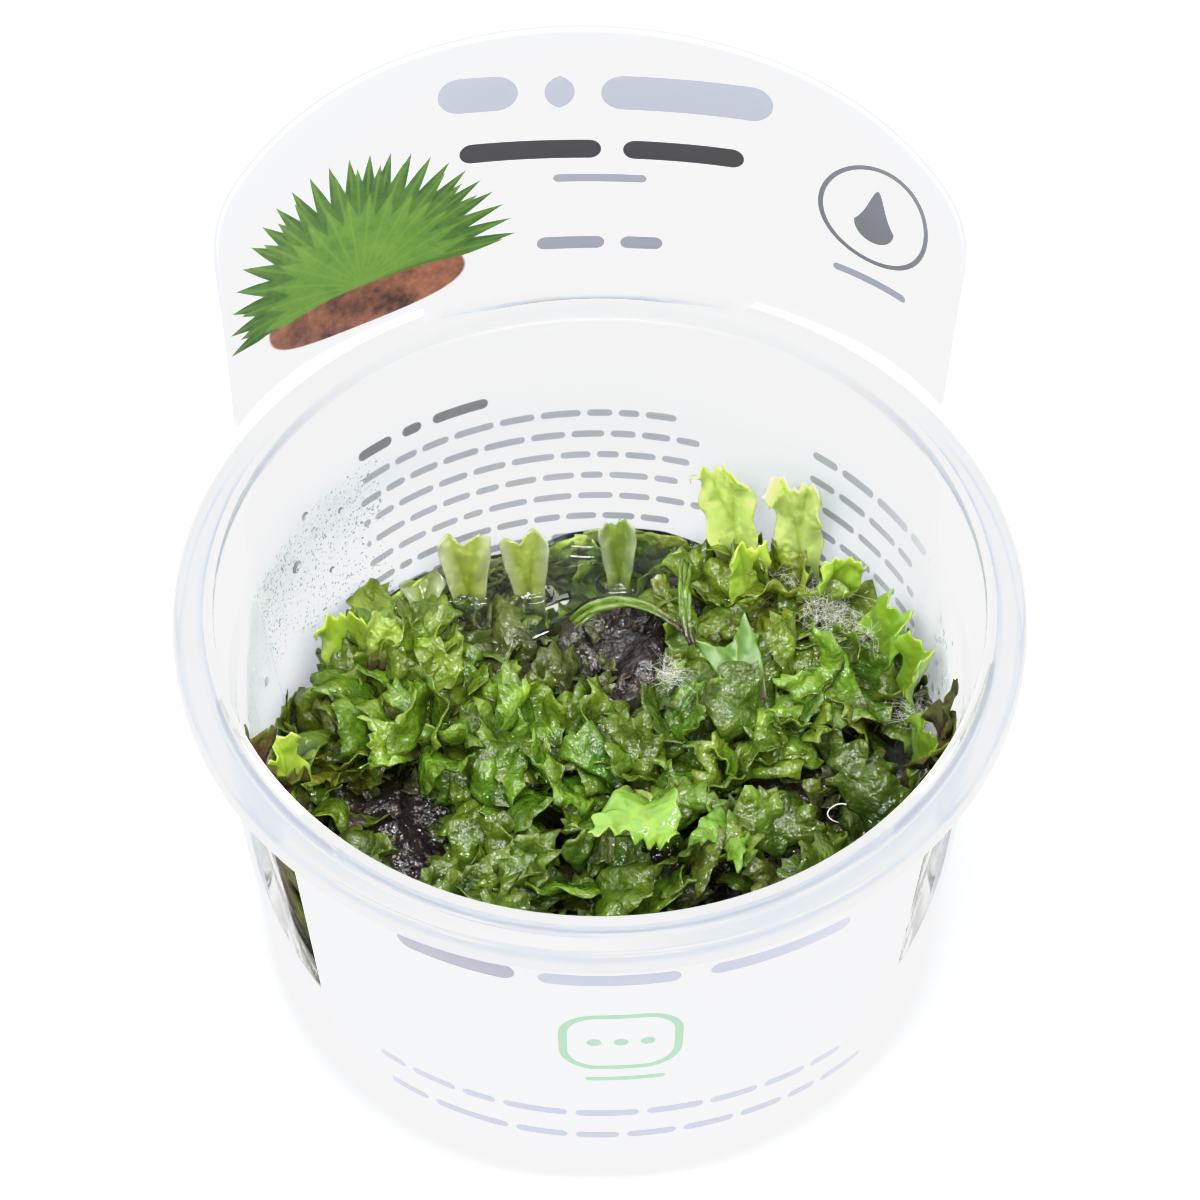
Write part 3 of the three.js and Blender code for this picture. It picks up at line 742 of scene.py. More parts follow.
def card_outer_face():
    """The face away from the plant: a title, a green badge and two long rows of bars at the front.

    The print dips to the right of the middle, by 0.0042 times the square of the way along.
    """
    # Painted shade: the outer face's white is 0.88 times the inner face's, so that its brightly lit front
    # stays below the floor's white
    material, tree, principled, _, s, t, colour = card_base("card_printed_outer_face", 0.88)
    to_right = s.most(0)
    t = t + to_right * to_right * 0.0042
    colour = printed_bars(s, t, colour, FRONT_WORDS)
    colour = mix_colour(tree, bar_rows(s, t, *FRONT_ROWS), colour, INK_PALE)
    badge_x, badge_y = 0.5 * DEGREE, 28
    half_width, half_height, corner, half_stroke = 2.2, 1.6, 3.4, 0.5
    across = ((s - badge_x).size() - half_width).most(0)
    up = ((t - badge_y).size() - half_height).most(0)
    mark = (distance(across, up) - corner).size().below(half_stroke, SOFT)
    for step in (-2.6, 0, 2.6):
        dot = distance(s - (badge_x + step), t - badge_y).below(0.8, SOFT)
        mark = mark.most(dot)
    colour = mix_colour(tree, mark, colour, INK_GREEN)
    tree.links.new(colour, principled.inputs["Base Color"])
    return material


def card_edge():
    """The cut edge, a little bluer than the faces."""
    material, tree, principled, *_, colour = card_base("card_cut_edge")
    bluer = mix_colour(tree, 0.25, colour, (0.6, 0.68, 0.8, 1))
    tree.links.new(bluer, principled.inputs["Base Color"])
    return material


# Gel

# The gel's contact line on the wall: degrees from the back's middle, height
SHORE = np.array([
    (-180, 14), (-62, 14.2), (-50, 14.6), (-45, 15.4), (-40, 17.8), (-33, 18.3), (-26, 17.9), (-20, 16.8),
    (-14, 16.4), (-8, 16.9), (-3, 18.3), (5, 19.2), (14, 19.4), (40, 16), (60, 14.2), (180, 14),
])
# How much higher the pool lies at the back, and how far its edge climbs up what stands in it
POOL_RISE = 2.6
STALK_RISE = 1.0


def gel_level(x, y):
    """The gel's surface: a little higher at the back, climbing by exp(-gap) to its contact line on the wall
    and by exp(-gap / 0.5) round each thallus that stands in it."""
    level = GEL_HEIGHT - 0.8 + POOL_RISE * smooth(y, 12, 24) + 0.1 * np.sin(0.8 * x + 0.5) * np.cos(0.7 * y)
    shore = np.interp(np.degrees(np.arctan2(x, y)), SHORE[:, 0], SHORE[:, 1])
    gap = tub_inside(level) - np.hypot(x, y)
    level = level + (shore - level) * np.exp(-np.maximum(gap, 0))
    for _, base, tip, _, width, *_ in FRONDS:
        if base[2] < GEL_HEIGHT - 2:
            part = (GEL_HEIGHT + 1.5 - base[2]) / (tip[2] - base[2])
            across = np.abs(x - base[0] - part * (tip[0] - base[0])) - 0.3 * width
            ahead = np.abs(y - base[1] - part * (tip[1] - base[1])) - 0.25
            reach = np.hypot(np.maximum(across, 0), np.maximum(ahead, 0))
            level = level + STALK_RISE * np.exp(-reach / 0.5)
    return level


def make_gel():
    """A disc that fills the foot of the tub, turned, with a rounded foot, its top shaped by gel_level."""
    def wall(height):
        return tub_inside(height) - 0.04

    top = tub_inside(GEL_HEIGHT) - 0.1
    reaches = np.concatenate([np.linspace(0.35, 14, 40), np.linspace(15, 30, 8)])
    rings = [(top - reach, GEL_HEIGHT) for reach in reaches]
    profile = rounded([
        (0, GEL_FOOT),
        (tub_inside(3) - 1.9, GEL_FOOT, 0.8),
        (wall(3.4), 3.4, 1.2),
        (wall(GEL_HEIGHT - 1), GEL_HEIGHT - 1, 0.1),
        (top, GEL_HEIGHT),
    ], 0.3)
    profile = np.vstack([profile, rings, [(0, GEL_HEIGHT)]])
    points, faces = turned(profile, 300)
    on_top = points[:, 2] > GEL_HEIGHT - 0.01
    x, y = points[on_top, 0], points[on_top, 1]
    level = gel_level(x, y)
    widen = (tub_inside(level) - tub_inside(GEL_HEIGHT)) * smooth(np.hypot(x, y), 0.9 * top, top)
    points[on_top, 0] = x * (1 + widen / top)
    points[on_top, 1] = y * (1 + widen / top)
    points[on_top, 2] = level
    return put("clear_gel", points, faces, [gel_material()], ["growth_gel"])


def gel_material():
    """Growing gel, clear with a green cast from what grows in it."""
    material, tree, principled = new_material(
        "clear_gel", Base_Color=(0.74, 0.81, 0.62, 1), Transmission_Weight=1.0, IOR=1.34, Roughness=0.02,
        Specular_IOR_Level=0.9)
    _, vector = coordinates(tree)
    bump(tree, principled, noise(tree, vector, 120, 2), 0.3, 0.4)
    return material


# Plant

def cushion_height(x, y):
    """The cushion's top: a plane that rises to the right, with long swells."""
    swell = 1.3 * np.sin(0.31 * x + 1.1) * np.cos(0.27 * y - 0.4) + 0.9 * np.sin(0.55 * x - 0.48 * y)
    return 19.2 + 0.07 * x - 0.02 * y + swell


def keep_inside(points, gap=0.3):
    """Presses points that would pass through the wall back onto it."""
    radius = np.linalg.norm(points[..., :2], axis=-1)
    limit = tub_inside(points[..., 2]) - gap
    shrink = np.minimum(1, limit / np.maximum(radius, 1e-6))
    return np.concatenate([points[..., :2] * shrink[..., None], points[..., 2:]], axis=-1)


def sheet_normals(points):
    """Unit normals of grids of points: the cross product of the steps along the two grid directions."""
    along = np.gradient(points, axis=1)
    across = np.gradient(points, axis=2)
    normal = np.cross(across, along)
    return normal / np.maximum(np.linalg.norm(normal, axis=-1, keepdims=True), 1e-9)


def closed_leaves(points, thickness):
    """Closed sheets round the middles (leaf, along, across, xyz): each face lies half a thickness away."""
    normal = sheet_normals(points)
    half = np.broadcast_to(thickness, points.shape[:3])[..., None] / 2
    leaves, along, across = points.shape[:3]
    base = grid_quads(along, across)
    quads = (base[None] + (np.arange(leaves) * along * across)[:, None, None]).reshape(-1, 4)
    front = (points - half * normal).reshape(-1, 3)
    back = (points + half * normal).reshape(-1, 3)
    return thick_sheet(back, front, quads)


def tooth(x):
    """A saw of pointed teeth, one for each whole step of x: (1 - |2x - 1|)^1.3 inside a step."""
    return (1 - np.abs(2 * (x - np.floor(x)) - 1)) ** 1.3


def lobe_grid(random, base, heading, rise, length, spread, along=10, across=19):
    """Crumpled fans with pointed teeth: u runs from foot to tip, v from edge to edge.

    A point lies at the angle spread * v from the fan's axis and at the distance
    q = length * u * (1 - v^2 / 5 + u^3 * (teeth - notch)). Its height over the fan's plane is the sum of
    six plane waves in random directions, each a fifteenth of its wave length high, growing with u, with a
    fold along the axis by |v|^1.5 and a curl by u^2. Last, the fan rolls about its axis, more towards its
    tip.
    """
    count = len(base)
    u = np.linspace(0, 1, along)[None, :, None]
    v = np.linspace(-1, 1, across)[None, None, :]

    def pick(low, high, *more):
        return random.uniform(low, high, (count, *more, 1, 1))

    length, spread = length[:, None, None], spread[:, None, None]
    phase = pick(0, 1)
    teeth = pick(0.08, 0.28) * tooth(pick(1.4, 2.8) * v + phase + 0.12 * np.sin(7 * v + 6 * phase))
    notch = pick(0, 0.4) * np.exp(-(((v - pick(-0.4, 0.4)) / 0.17) ** 2))
    q = length * u * (1 - 0.2 * v ** 2 + u ** 3 * (teeth - notch))
    side = 0.14 * np.abs(v) ** 3 * tooth(pick(1.6, 3) * u + phase + 0.4 * np.sign(v))
    angle = spread * v * (0.4 + 0.6 * u ** 0.5) * (1 + side)
    x = q * np.sin(angle) + pick(-0.3, 0.3) * length * u ** 2
    y = q * np.cos(angle)
    wave_length = pick(1.3, 4.6, 6)
    direction = pick(0, 6.28, 6)
    waves = x[:, None] * np.cos(direction) + y[:, None] * np.sin(direction)
    wave = np.sin(2 * np.pi * waves / wave_length + pick(0, 6.28, 6))
    crumple = (0.066 * wave_length * wave).sum(axis=1)
    height = crumple * (0.2 + 0.8 * u) + pick(-0.25, 0.6) * np.abs(v) ** 1.5 * q * 0.6
    height = height - pick(-0.05, 0.65) * length * u ** 2
    roll = pick(-0.5, 0.5) + pick(-0.9, 0.9) * u
    side_step = x * np.cos(roll) - height * np.sin(roll)
    up_step = x * np.sin(roll) + height * np.cos(roll)
    flat = np.cos(rise)
    axis = np.stack([flat * np.cos(heading), flat * np.sin(heading), np.sin(rise)], axis=-1)
    across_axis = np.stack([-np.sin(heading), np.cos(heading), 0 * heading], axis=-1)
    normal = np.cross(axis, across_axis)
    grid = base[:, None, None] + y[..., None] * axis[:, None, None]
    grid = grid + side_step[..., None] * across_axis[:, None, None]
    grid = grid + up_step[..., None] * normal[:, None, None]
    margin = np.maximum(u ** 6, np.abs(v) ** 6)
    return grid, u + 0 * x, crumple, margin + 0 * x


# Clumps: name, middle x and y, reach, how far it stands out, slot, colour
CLUMPS = [
    ("clump_left", -27, 6, 8, 6.5, "mid", (0.142, 0.225, 0.018)),
    ("clump_back_left", -18, 14, 7, 6, "lime", (0.155, 0.290, 0.020)),
    ("clump_centre_left", -11, 3, 8, 7.5, "mid", (0.100, 0.235, 0.015)),
    ("clump_back_centre", 1, 15, 8, 5, "dark", (0.067, 0.119, 0.014)),
    ("clump_back_right", 15, 20, 8, 6, "lime", (0.138, 0.230, 0.018)),
    ("clump_right", 26, 9, 8, 8, "mid", (0.098, 0.182, 0.015)),
    ("clump_centre", 3, 1, 8, 7, "mid", (0.086, 0.200, 0.013)),
    ("clump_centre_right", 17, 2, 8, 8.5, "mid", (0.102, 0.206, 0.015)),
    ("clump_right_front", 27, -9, 8, 6.5, "dark", (0.048, 0.094, 0.011)),
    ("clump_front_right", 15, -18, 9, 7, "mid", (0.068, 0.140, 0.011)),
    ("clump_front", 1, -17, 9, 7.5, "mid", (0.086, 0.192, 0.012)),
    ("clump_front_left", -13, -15, 9, 7, "mid", (0.068, 0.150, 0.012)),
    ("clump_left_front", -25, -8, 8, 5.5, "dark", (0.062, 0.106, 0.012)),
]
# Where the thalli are brown and low: x, y, radius
DARK_PATCHES = [
    (4.6, 18.4, 6.8), (1.2, 12, 4.8), (-20, -4, 7.2), (-17, -10, 6), (-14, 9, 3), (10, -17, 5), (30, -4, 6),
    (-4, -18, 3.5), (15, 12, 3), (8, -3, 2.5), (20, -4, 3), (-19, -17, 4.5), (-9, -25, 3.6), (2, -26.5, 3),
]
# DARK is the painted shade at the foot of each lobe, deep in the tuft
DARK = np.array([0.02, 0.03, 0.008])
BROWN = np.array([0.06, 0.04, 0.025])
PURPLE = np.array([0.055, 0.038, 0.037])
LIME = np.array([0.36, 0.52, 0.05])
SUNK_GREEN = np.array([0.06, 0.1, 0.02])
PRESSED_GREEN = np.array([0.1, 0.2, 0.02])
GOLDEN_ANGLE = 2.39996
MOUND_FOOT = 12.5
LOBE_THICKNESS = 0.36
SUNK_THICKNESS = 0.34
FROND_THICKNESS = 0.42


def darkness(x, y):
    """1 in the middle of a dark patch, falling to 0 at its edge."""
    dark = np.zeros(np.shape(x))
    for px, py, radius in DARK_PATCHES:
        dark = np.maximum(dark, 1 - smooth(np.hypot(x - px, y - py), 0.55 * radius, 1.1 * radius))
    return dark


def lobe_tint(random, u, crumple, margin, colour, dark):
    """Painted shade, near black, at the foot, the clump's green along the lobe, paler to lime at its tip,
    partly its own young green and partly painted light, painted light on the margin and the crumple's
    ridges, painted shade in its folds, and purple brown in a dark patch. Every lobe varies a little, and
    one in fourteen is browner."""
    count = len(u)
    own = np.atleast_2d(colour) * random.uniform(0.7, 1.35, (count, 1))
    own = own * (1 + random.uniform(-0.2, 0.6, (count, 1)) * np.array([1, 0.15, 0.3]))
    brown = random.uniform(0, 1, (count, 1)) < 0.07
    own = np.where(brown, 0.5 * own + 0.5 * BROWN, own)
    own = own + dark[:, None] * (PURPLE * random.uniform(0.6, 2.2, (count, 1)) - own)
    own = own[:, None, None]
    foot = smooth(u, 0.0, 0.45)[..., None]
    # Partly the lobe's own lime tip, partly painted light on its margin and on the crumple's ridges
    tip_green_and_painted_light = 0.35 * smooth(u, 0.5, 1.0) + 0.08 * margin + 0.15 * crumple
    pale = np.clip(tip_green_and_painted_light, 0, 0.7)[..., None] * (1 - 0.92 * dark[:, None, None, None])
    # Painted shade: the foot darkens to near black DARK, where the lobes crowd together
    tint = DARK + foot * (own - DARK)
    tint = tint + pale * (LIME * random.uniform(0.35, 1, (count, 1, 1, 1)) - tint) * foot
    # Painted shade in the folds of the crumple and painted light on its ridges
    return tint * np.clip(0.95 + 0.3 * crumple, 0.6, 1.3)[..., None]


def make_clump(order, name, cx, cy, reach, stand, kind, colour):
    """Tufts on a spiral over the clump, their inner lobes upright and the outer ones leaning out, and
    between them small low lobes that cover the ground. All of them sink and shrink in a dark patch."""
    random = np.random.default_rng(SEED * 100 + order)
    tufts, per, low = 5, 8, 16
    count = tufts * per + low
    spot = np.arange(tufts)
    turn = spot * 2.4 + order
    out = reach * 0.9 * np.sqrt((spot + 0.3) / tufts)
    tx, ty = cx + out * np.cos(turn), cy + out * np.sin(turn)
    dark = darkness(tx, ty)
    lift = random.uniform(0.2, 1, tufts) * (stand - 3.6) * (1 - dark) - 1.5 * dark
    which = np.repeat(spot, per)
    n = np.tile(np.arange(per), tufts)
    ring_part = np.sqrt((n + 0.5) / per)
    heading = n * GOLDEN_ANGLE + which * 1.1 + random.uniform(-0.7, 0.7, len(which))
    rise = np.radians(84 - 60 * ring_part + random.uniform(-18, 18, len(which)))
    step = 1.6 * ring_part + random.uniform(-0.6, 0.6, len(which))
    x, y = tx[which] + step * np.cos(heading), ty[which] + step * np.sin(heading)
    own_dark = darkness(x, y)
    z = cushion_height(x, y) - 0.8 - 1.2 * ring_part + lift[which] * (1 - own_dark) - 2.8 * own_dark
    low_turn, low_out = random.uniform(0, 6.28, low), reach * 1.1 * np.sqrt(random.uniform(0, 1, low))
    low_x, low_y = cx + low_out * np.cos(low_turn), cy + low_out * np.sin(low_turn)
    low_z = cushion_height(low_x, low_y) - 1.5 + 0.5 * ground_lift(low_x, low_y, tx, ty, lift)
    base = np.column_stack([np.append(x, low_x), np.append(y, low_y), np.append(z, low_z)])
    heading = np.append(heading, random.uniform(0, 6.28, low))
    rise = np.append(rise, np.radians(random.uniform(15, 65, low)))
    low_dark = np.maximum(darkness(low_x, low_y), random.uniform(0, 0.7, low))
    shade = np.append(np.maximum(dark[which], own_dark), low_dark)
    length = np.append(random.uniform(3.8, 7.0, len(which)), random.uniform(2.4, 3.8, low))
    length = length * (1 - 0.4 * shade)
    spread = random.uniform(0.5, 1.05, count)
    grid, u, crumple, margin = lobe_grid(random, base, heading, rise, length, spread)
    grid = keep_inside(grid)
    points, faces = closed_leaves(grid, LOBE_THICKNESS * (1 - 0.7 * margin))
    tint = lobe_tint(random, u, crumple, margin, colour, shade).reshape(-1, 3)
    tint = np.vstack([tint, tint])
    mound_points, mound_faces = mound(cx, cy, reach, tx, ty, lift)
    faces = faces + [part + len(points) for part in mound_faces]
    mound_dark = darkness(mound_points[:, 0], mound_points[:, 1])[:, None]
    mound_tint = (BROWN * 0.6 + 0.12 * np.array(colour)) * (1 - mound_dark) + PURPLE * 0.8 * mound_dark
    return put(name + "_thalli", np.vstack([points, mound_points]), faces, [thallus_material(kind)],
               [name], tint=np.vstack([tint, mound_tint]))


def ground_lift(x, y, tx, ty, lift):
    """The highest of lift * exp(-(d / 2.6)^2) over the tufts, at distance d from each."""
    gap = np.hypot(x[..., None] - tx, y[..., None] - ty)
    return (lift * np.exp(-((gap / 2.6) ** 2))).max(axis=-1)


def mound(cx, cy, reach, tx, ty, lift, turns=44):
    """The clump's ground: a lumpy dome out to 1.3 times its reach, raised under each tuft, its side
    pressed against the wall."""
    part = np.array([0.1, 0.22, 0.34, 0.46, 0.58, 0.7, 0.82, 0.94, 1.03, 1.08, 1.06])
    drop = np.array([0, 0, 0.1, 0.2, 0.4, 0.7, 1.1, 1.7, 3.0, 5.5, 9.0])
    turn = -np.arange(turns) / turns * 2 * np.pi
    x = cx + reach * 1.2 * part[:, None] * np.sin(turn)
    y = cy + reach * 1.2 * part[:, None] * np.cos(turn)
    lumps = 0.35 * np.sin(1.3 * x) * np.cos(1.1 * y) + 0.2 * np.sin(2.3 * x + 1.9 * y)
    z = cushion_height(x, y) - 1.2 - drop[:, None] + lumps + ground_lift(x, y, tx, ty, lift)
    z = np.maximum(z, MOUND_FOOT)
    around = keep_inside(np.stack([x, y, z], axis=-1), 0.12).reshape(-1, 3)
    top = np.array([[cx, cy, z[0].mean()]])
    foot = np.array([[cx, cy, MOUND_FOOT]])
    rows = len(part)
    quads = grid_quads(rows, turns, wrap_columns=True)[:, ::-1]
    this = np.arange(turns)
    following = (this + 1) % turns
    first, last = rows * turns, rows * turns + 1
    cap = np.stack([np.full(turns, first), this, following], axis=-1)[:, ::-1]
    outermost = (rows - 1) * turns
    under = np.stack([np.full(turns, last), outermost + this, outermost + following], axis=-1)
    return np.vstack([around, top, foot]), [quads, cap, under]


# Finishes that differ from the wet one
THALLUS_FINISHES = {
    "matte": {"Roughness": 0.6, "Specular_IOR_Level": 0.1},
    "dull_frond": {"Roughness": 0.42},
    "milky_frond": {"Transmission_Weight": 0.4},
}
THALLUS_MATERIALS = {}


def thallus_material(kind):
    """Wet thallus: the tint of the mesh, mottled by noise, under a wavy film of water. In the fronds light
    spreads inside them, and through the thin lobes part of it passes to their other face."""
    if kind in THALLUS_MATERIALS:
        return THALLUS_MATERIALS[kind]
    finish = {"Roughness": 0.08, "IOR": 1.45, "Specular_IOR_Level": 0.9} | THALLUS_FINISHES.get(kind, {})
    material, tree, principled = new_material(f"thallus_{kind}", **finish)
    THALLUS_MATERIALS[kind] = material
    attribute = tree.nodes.new("ShaderNodeAttribute")
    attribute.attribute_name = "tint"
    _, vector = coordinates(tree)
    mottle = noise(tree, vector, 700, 4).between(0.35, 0.95, 0.3)
    colour = mix_colour(tree, mottle, attribute.outputs["Color"], (0.62, 0.62, 0.6, 1), "MULTIPLY")
    tree.links.new(colour, principled.inputs["Base Color"])
    if kind.endswith("frond"):
        principled.inputs["Subsurface Weight"].default_value = 0.75
        principled.inputs["Subsurface Radius"].default_value = (0.9, 1.0, 0.5)
        principled.inputs["Subsurface Scale"].default_value = 1.2 * MM
        bump(tree, principled, noise(tree, vector, 620, 1), 0.6, 0.5)
        return material
    bump(tree, principled, noise(tree, vector, 560, 3, 0.5), 1.0, 1.0)
    through = tree.nodes.new("ShaderNodeBsdfTranslucent")
    tree.links.new(colour, through.inputs["Color"])
    mix = tree.nodes.new("ShaderNodeMixShader")
    mix.inputs[0].default_value = 0.35
    tree.links.new(principled.outputs[0], mix.inputs[1])
    tree.links.new(through.outputs[0], mix.inputs[2])
    output = next(n for n in tree.nodes if n.type == "OUTPUT_MATERIAL")
    tree.links.new(mix.outputs[0], output.inputs["Surface"])
    return material


# Fronds: name, foot, tip, the way it faces, width, fork, bulge, slot, colour
FRONDS = [
    ("frond_tall_left", (16, 23.4, 17), (13, 28.2, 33), (-0.3, -1, 0.5),
     5.4, 1.2, -1.2, "lime", (0.6, 0.76, 0.22)),
    ("frond_tall_right", (21.4, 21, 18), (20.3, 24.4, 35), (-0.3, -1, 0.4),
     5.2, 0.9, -1, "lime", (0.62, 0.77, 0.25)),
    ("frond_tall_middle", (15.6, 19.4, 16), (16, 21, 29.5), (0.1, -1, 0.4),
     4, 0.8, -0.6, "lime", (0.5, 0.72, 0.1)),
    ("frond_side_right", (23.5, 16.5, 20), (25.4, 18, 30.4), (0.2, -1, 0.6),
     4.6, 1.4, -0.8, "lime", (0.36, 0.56, 0.06)),
    ("frond_wall_upper", (27.6, 11.2, 18), (30.2, 11.4, 31), (-1, -0.4, 0.3),
     6, 1.2, 0.8, "mid", (0.2, 0.36, 0.03)),
    ("frond_wall_middle", (29.8, 4.4, 18), (32.1, 5.6, 32), (-1, -0.2, 0.2),
     5.4, 1, 0.6, "mid", (0.2, 0.34, 0.03)),
    ("frond_wall_lower", (30.8, -2.6, 18), (32.2, -2.2, 29), (-1, 0, 0.2),
     5.6, 1.1, 0.6, "mid", (0.17, 0.28, 0.03)),
    ("frond_gel_left", (-16.8, 23.4, 14.4), (-17, 28.6, 17.6), (0, -0.7, 1),
     5.0, 0, 0.5, "lime", (0.38, 0.5, 0.08)),
    ("frond_gel_middle", (-11.8, 25, 9), (-12.6, 28.2, 23.6), (0, -1, 0.3),
     5.4, 1.0, 0.4, "lime", (0.6, 0.72, 0.17)),
    ("frond_gel_right", (-5.4, 24.6, 9), (-6.6, 28.6, 23), (0, -1, 0.3),
     4.9, 0.8, 0.4, "lime", (0.54, 0.66, 0.15)),
    ("frond_back", (3.4, 25.6, 9), (3, 29.4, 23.6), (0, -1, 0.3),
     3.8, 0.6, 0.4, "mid", (0.3, 0.44, 0.07)),
    ("frond_left_upper", (-23, 12.5, 15), (-25, 17.2, 25.5), (-0.2, -1, 0.8),
     6.2, 1, -0.8, "lime", (0.34, 0.5, 0.05)),
    ("frond_left_edge", (-29.6, -1.2, 17), (-31.6, -0.4, 27.4), (1, -0.6, 0.4),
     5, 0.9, 0.4, "lime", (0.42, 0.6, 0.07)),
    ("frond_forked", (15.6, 4.4, 25.4), (12.2, 10.4, 29.6), (0.1, -0.6, 1),
     5.4, 1.7, 0.4, "mid", (0.1, 0.22, 0.03)),
    ("frond_curled", (4.6, -7, 25), (2.4, -15.6, 29.5), (0, 0.35, 1),
     8, 1.4, 2, "mid", (0.2, 0.38, 0.04)),
]
HORNED = {"frond_forked", "frond_curled"}
MILKY = {"frond_gel_left", "frond_gel_middle", "frond_gel_right", "frond_back"}
# How much a frond's margins ruffle, where that isn't 1
RUFFLE = {
    "frond_forked": 0.2, "frond_gel_left": 0.1, "frond_gel_middle": 0.2, "frond_gel_right": 0.25,
    "frond_back": 0.6, "frond_tall_left": 1.5, "frond_tall_right": 1.4,
}
# The milky fronds' pale margin: partly their own colour, partly painted light from the white wall shining
# through them
PALE_MARGIN = np.array([0.74, 0.8, 0.6])
RIB = np.array([0.3, 0.42, 0.02])
# Loose thalli: foot, middle, tip, face, width, fork, colour
STRAPS = {
    "strap_curved": ((9.8, 14.6, 22.8), (3.6, 20.6, 26), (-2, 17.2, 22.4), (0, -0.3, 1),
        1.25, 0.3, (0.17, 0.28, 0.03)),
    "strap_upright": ((9.8, 13.6, 23), (8.6, 17, 25.6), (9.8, 23, 24.8), (0.3, -0.6, 1),
        1.35, 0.4, (0.17, 0.28, 0.035)),
    "strap_front_left": ((-17.6, 2.6, 22), (-20.5, 1, 25.6), (-23.6, 1.6, 25), (0, -0.5, 1),
        5, 1.6, (0.26, 0.42, 0.04)),
    "strap_left": ((-21.6, 13.6, 21), (-21, 15, 25.5), (-20, 16.6, 25.5), (0.1, -1, 0.8),
        3.8, 0.8, (0.4, 0.56, 0.08)),
    "strap_right": ((25.6, 2.6, 23), (22.5, 5, 28.2), (19.6, 8, 27.6), (0.1, -0.6, 1),
        7, 2.2, (0.2, 0.38, 0.03)),
    "strap_right_low": ((21, 6, 22.6), (19, 3, 26), (16.6, 0.8, 24.4), (0, -0.3, 1),
        4.4, 1.2, (0.2, 0.36, 0.03)),
    "strap_front": ((12.5, -8.5, 23.6), (12, -11, 28), (10, -14.4, 26), (0.2, -0.3, 1),
        5.4, 1.4, (0.2, 0.4, 0.04)),
}


def unit(vector):
    """The vector at length 1."""
    return vector / np.linalg.norm(vector)


def frond_sheet(seed, base, middle, tip, face, width, fork, colour, horned, ruffle, milky=False,
                along=34, across=25):
    """A strap with a forked, toothed tip: u runs from foot to tip, v from margin to margin.

    Its midline is (1-u)^2 foot + 2u(1-u) middle + u^2 tip. The half width grows along a sine of u, or on a
    milky frond along a smooth step from a narrower stalk. The tip is cut by fork * u^4 * (1 - v^2) on a
    horned frond, by fork * u^5 * exp(-((v - 0.15) / 0.3)^2) and rounded corners on the others, and has
    small teeth. The midrib is a groove that forks past the middle. The margins ruffle by |v|^3. The tint
    goes from brown at the foot to the frond's own, paler towards the margins, partly the margins' own paler
    green and partly painted light that stands in for the white wall behind shining through them, and
    green along the midrib.
    """
    random = np.random.default_rng(seed)
    u = np.linspace(0, 1, along)[:, None]
    v = np.linspace(-1, 1, across)[None, :]
    base, middle, tip = (np.array(p, float) for p in (base, middle, tip))
    path = (1 - u) ** 2 * base + 2 * u * (1 - u) * middle + u ** 2 * tip
    ahead = 2 * (1 - u) * (middle - base) + 2 * u * (tip - middle)
    ahead /= np.linalg.norm(ahead, axis=1, keepdims=True)
    side = np.cross(face, ahead)
    side /= np.linalg.norm(side, axis=1, keepdims=True)
    normal = np.cross(ahead, side)
    p = random.uniform(0, 6.28, 8)
    foot_width = 0.34 if horned else 0.5
    half = width / 2 * (foot_width + (1 - foot_width) * np.sin(np.pi / 2 * np.minimum(1, u * 1.15)))
    if milky:
        half = width / 2 * (0.55 + 0.45 * smooth(u, 0.35, 0.95))
    half = half * (1 + ruffle * u * (0.22 * tooth(4.3 * u + p[0] + 0.37 * np.sign(v)) - 0.1))
    if horned:
        cut = -fork * u ** 4 * (1 - v ** 2) - 0.04 * width * u ** 6 * np.sin(3 * v + p[2])
    else:
        corner = 0.1 if milky else 0.22
        cut = -fork * u ** 5 * np.exp(-(((v - 0.15) / 0.3) ** 2)) - corner * width * u ** 6 * v ** 4
    if milky:
        cut = cut - (0.12 if fork else 0.3) * width * u ** 3 * (np.abs(v) - (0.5 if fork else 0)) ** 2
    cut = cut + ruffle * 0.16 * width * u ** 6 * (tooth(2.6 * v + p[1]) - 0.4)
    rib = 0.5 * smooth(u, 0.45, 1.0)
    on_rib = np.exp(-(((np.abs(v) - rib) / (0.22 if milky else 0.13)) ** 2))
    long_wave = np.sin(8 * u + p[3] + 2.5 * np.sign(v))
    short_wave = np.sin(21 * u + p[6] + 1.5 * np.sign(v))
    height = ruffle * 0.16 * width * np.abs(v) ** 3 * (0.25 + u) * long_wave
    height = height + ruffle * 0.07 * width * v ** 2 * u * short_wave
    height = height + 0.1 * width * v ** 2 - 0.2 * on_rib + 0.06 * np.sin(15 * u + 6 * v + p[4])
    height = height + 0.14 * width * u ** 3 * np.sin(4 * v + p[5]) + 0.1 * np.sin(5 * v + 7 * u + p[7])
    grid = path[:, None] + (half * v)[..., None] * side[:, None] + cut[..., None] * ahead[:, None]
    grid = keep_inside(grid + height[..., None] * normal[:, None])[None]
    margin = np.maximum(u ** 6, np.abs(v) ** 4)
    points, faces = closed_leaves(grid, FROND_THICKNESS * (1 - 0.72 * margin)[None])
    own = np.array(colour)
    foot = smooth(u + 0 * v, 0.02, 0.42)[..., None]
    tint = BROWN * 1.5 + foot * (own - BROWN * 1.5)
    # Paler towards the margins: partly the frond's own colour, partly painted light from the white wall
    # behind
    tint = tint + (0.5 * smooth(u, 0.4, 1.0) * np.abs(v) ** 2)[..., None] * (own ** 0.8 - tint)
    if milky:
        # Partly own pale margin, partly painted light from the white wall shining through
        tint = tint + (0.8 * smooth(u, 0.3, 0.8) * np.abs(v) ** 1.5)[..., None] * (PALE_MARGIN - tint)
    rib_share = ((0.9 if milky else 0.7) * on_rib * (1 - 0.5 * u))[..., None] * foot
    tint = tint + rib_share * (RIB * (0.5 + own.max()) - tint)
    tint = tint.reshape(-1, 3)
    return points, faces, np.vstack([tint, tint])


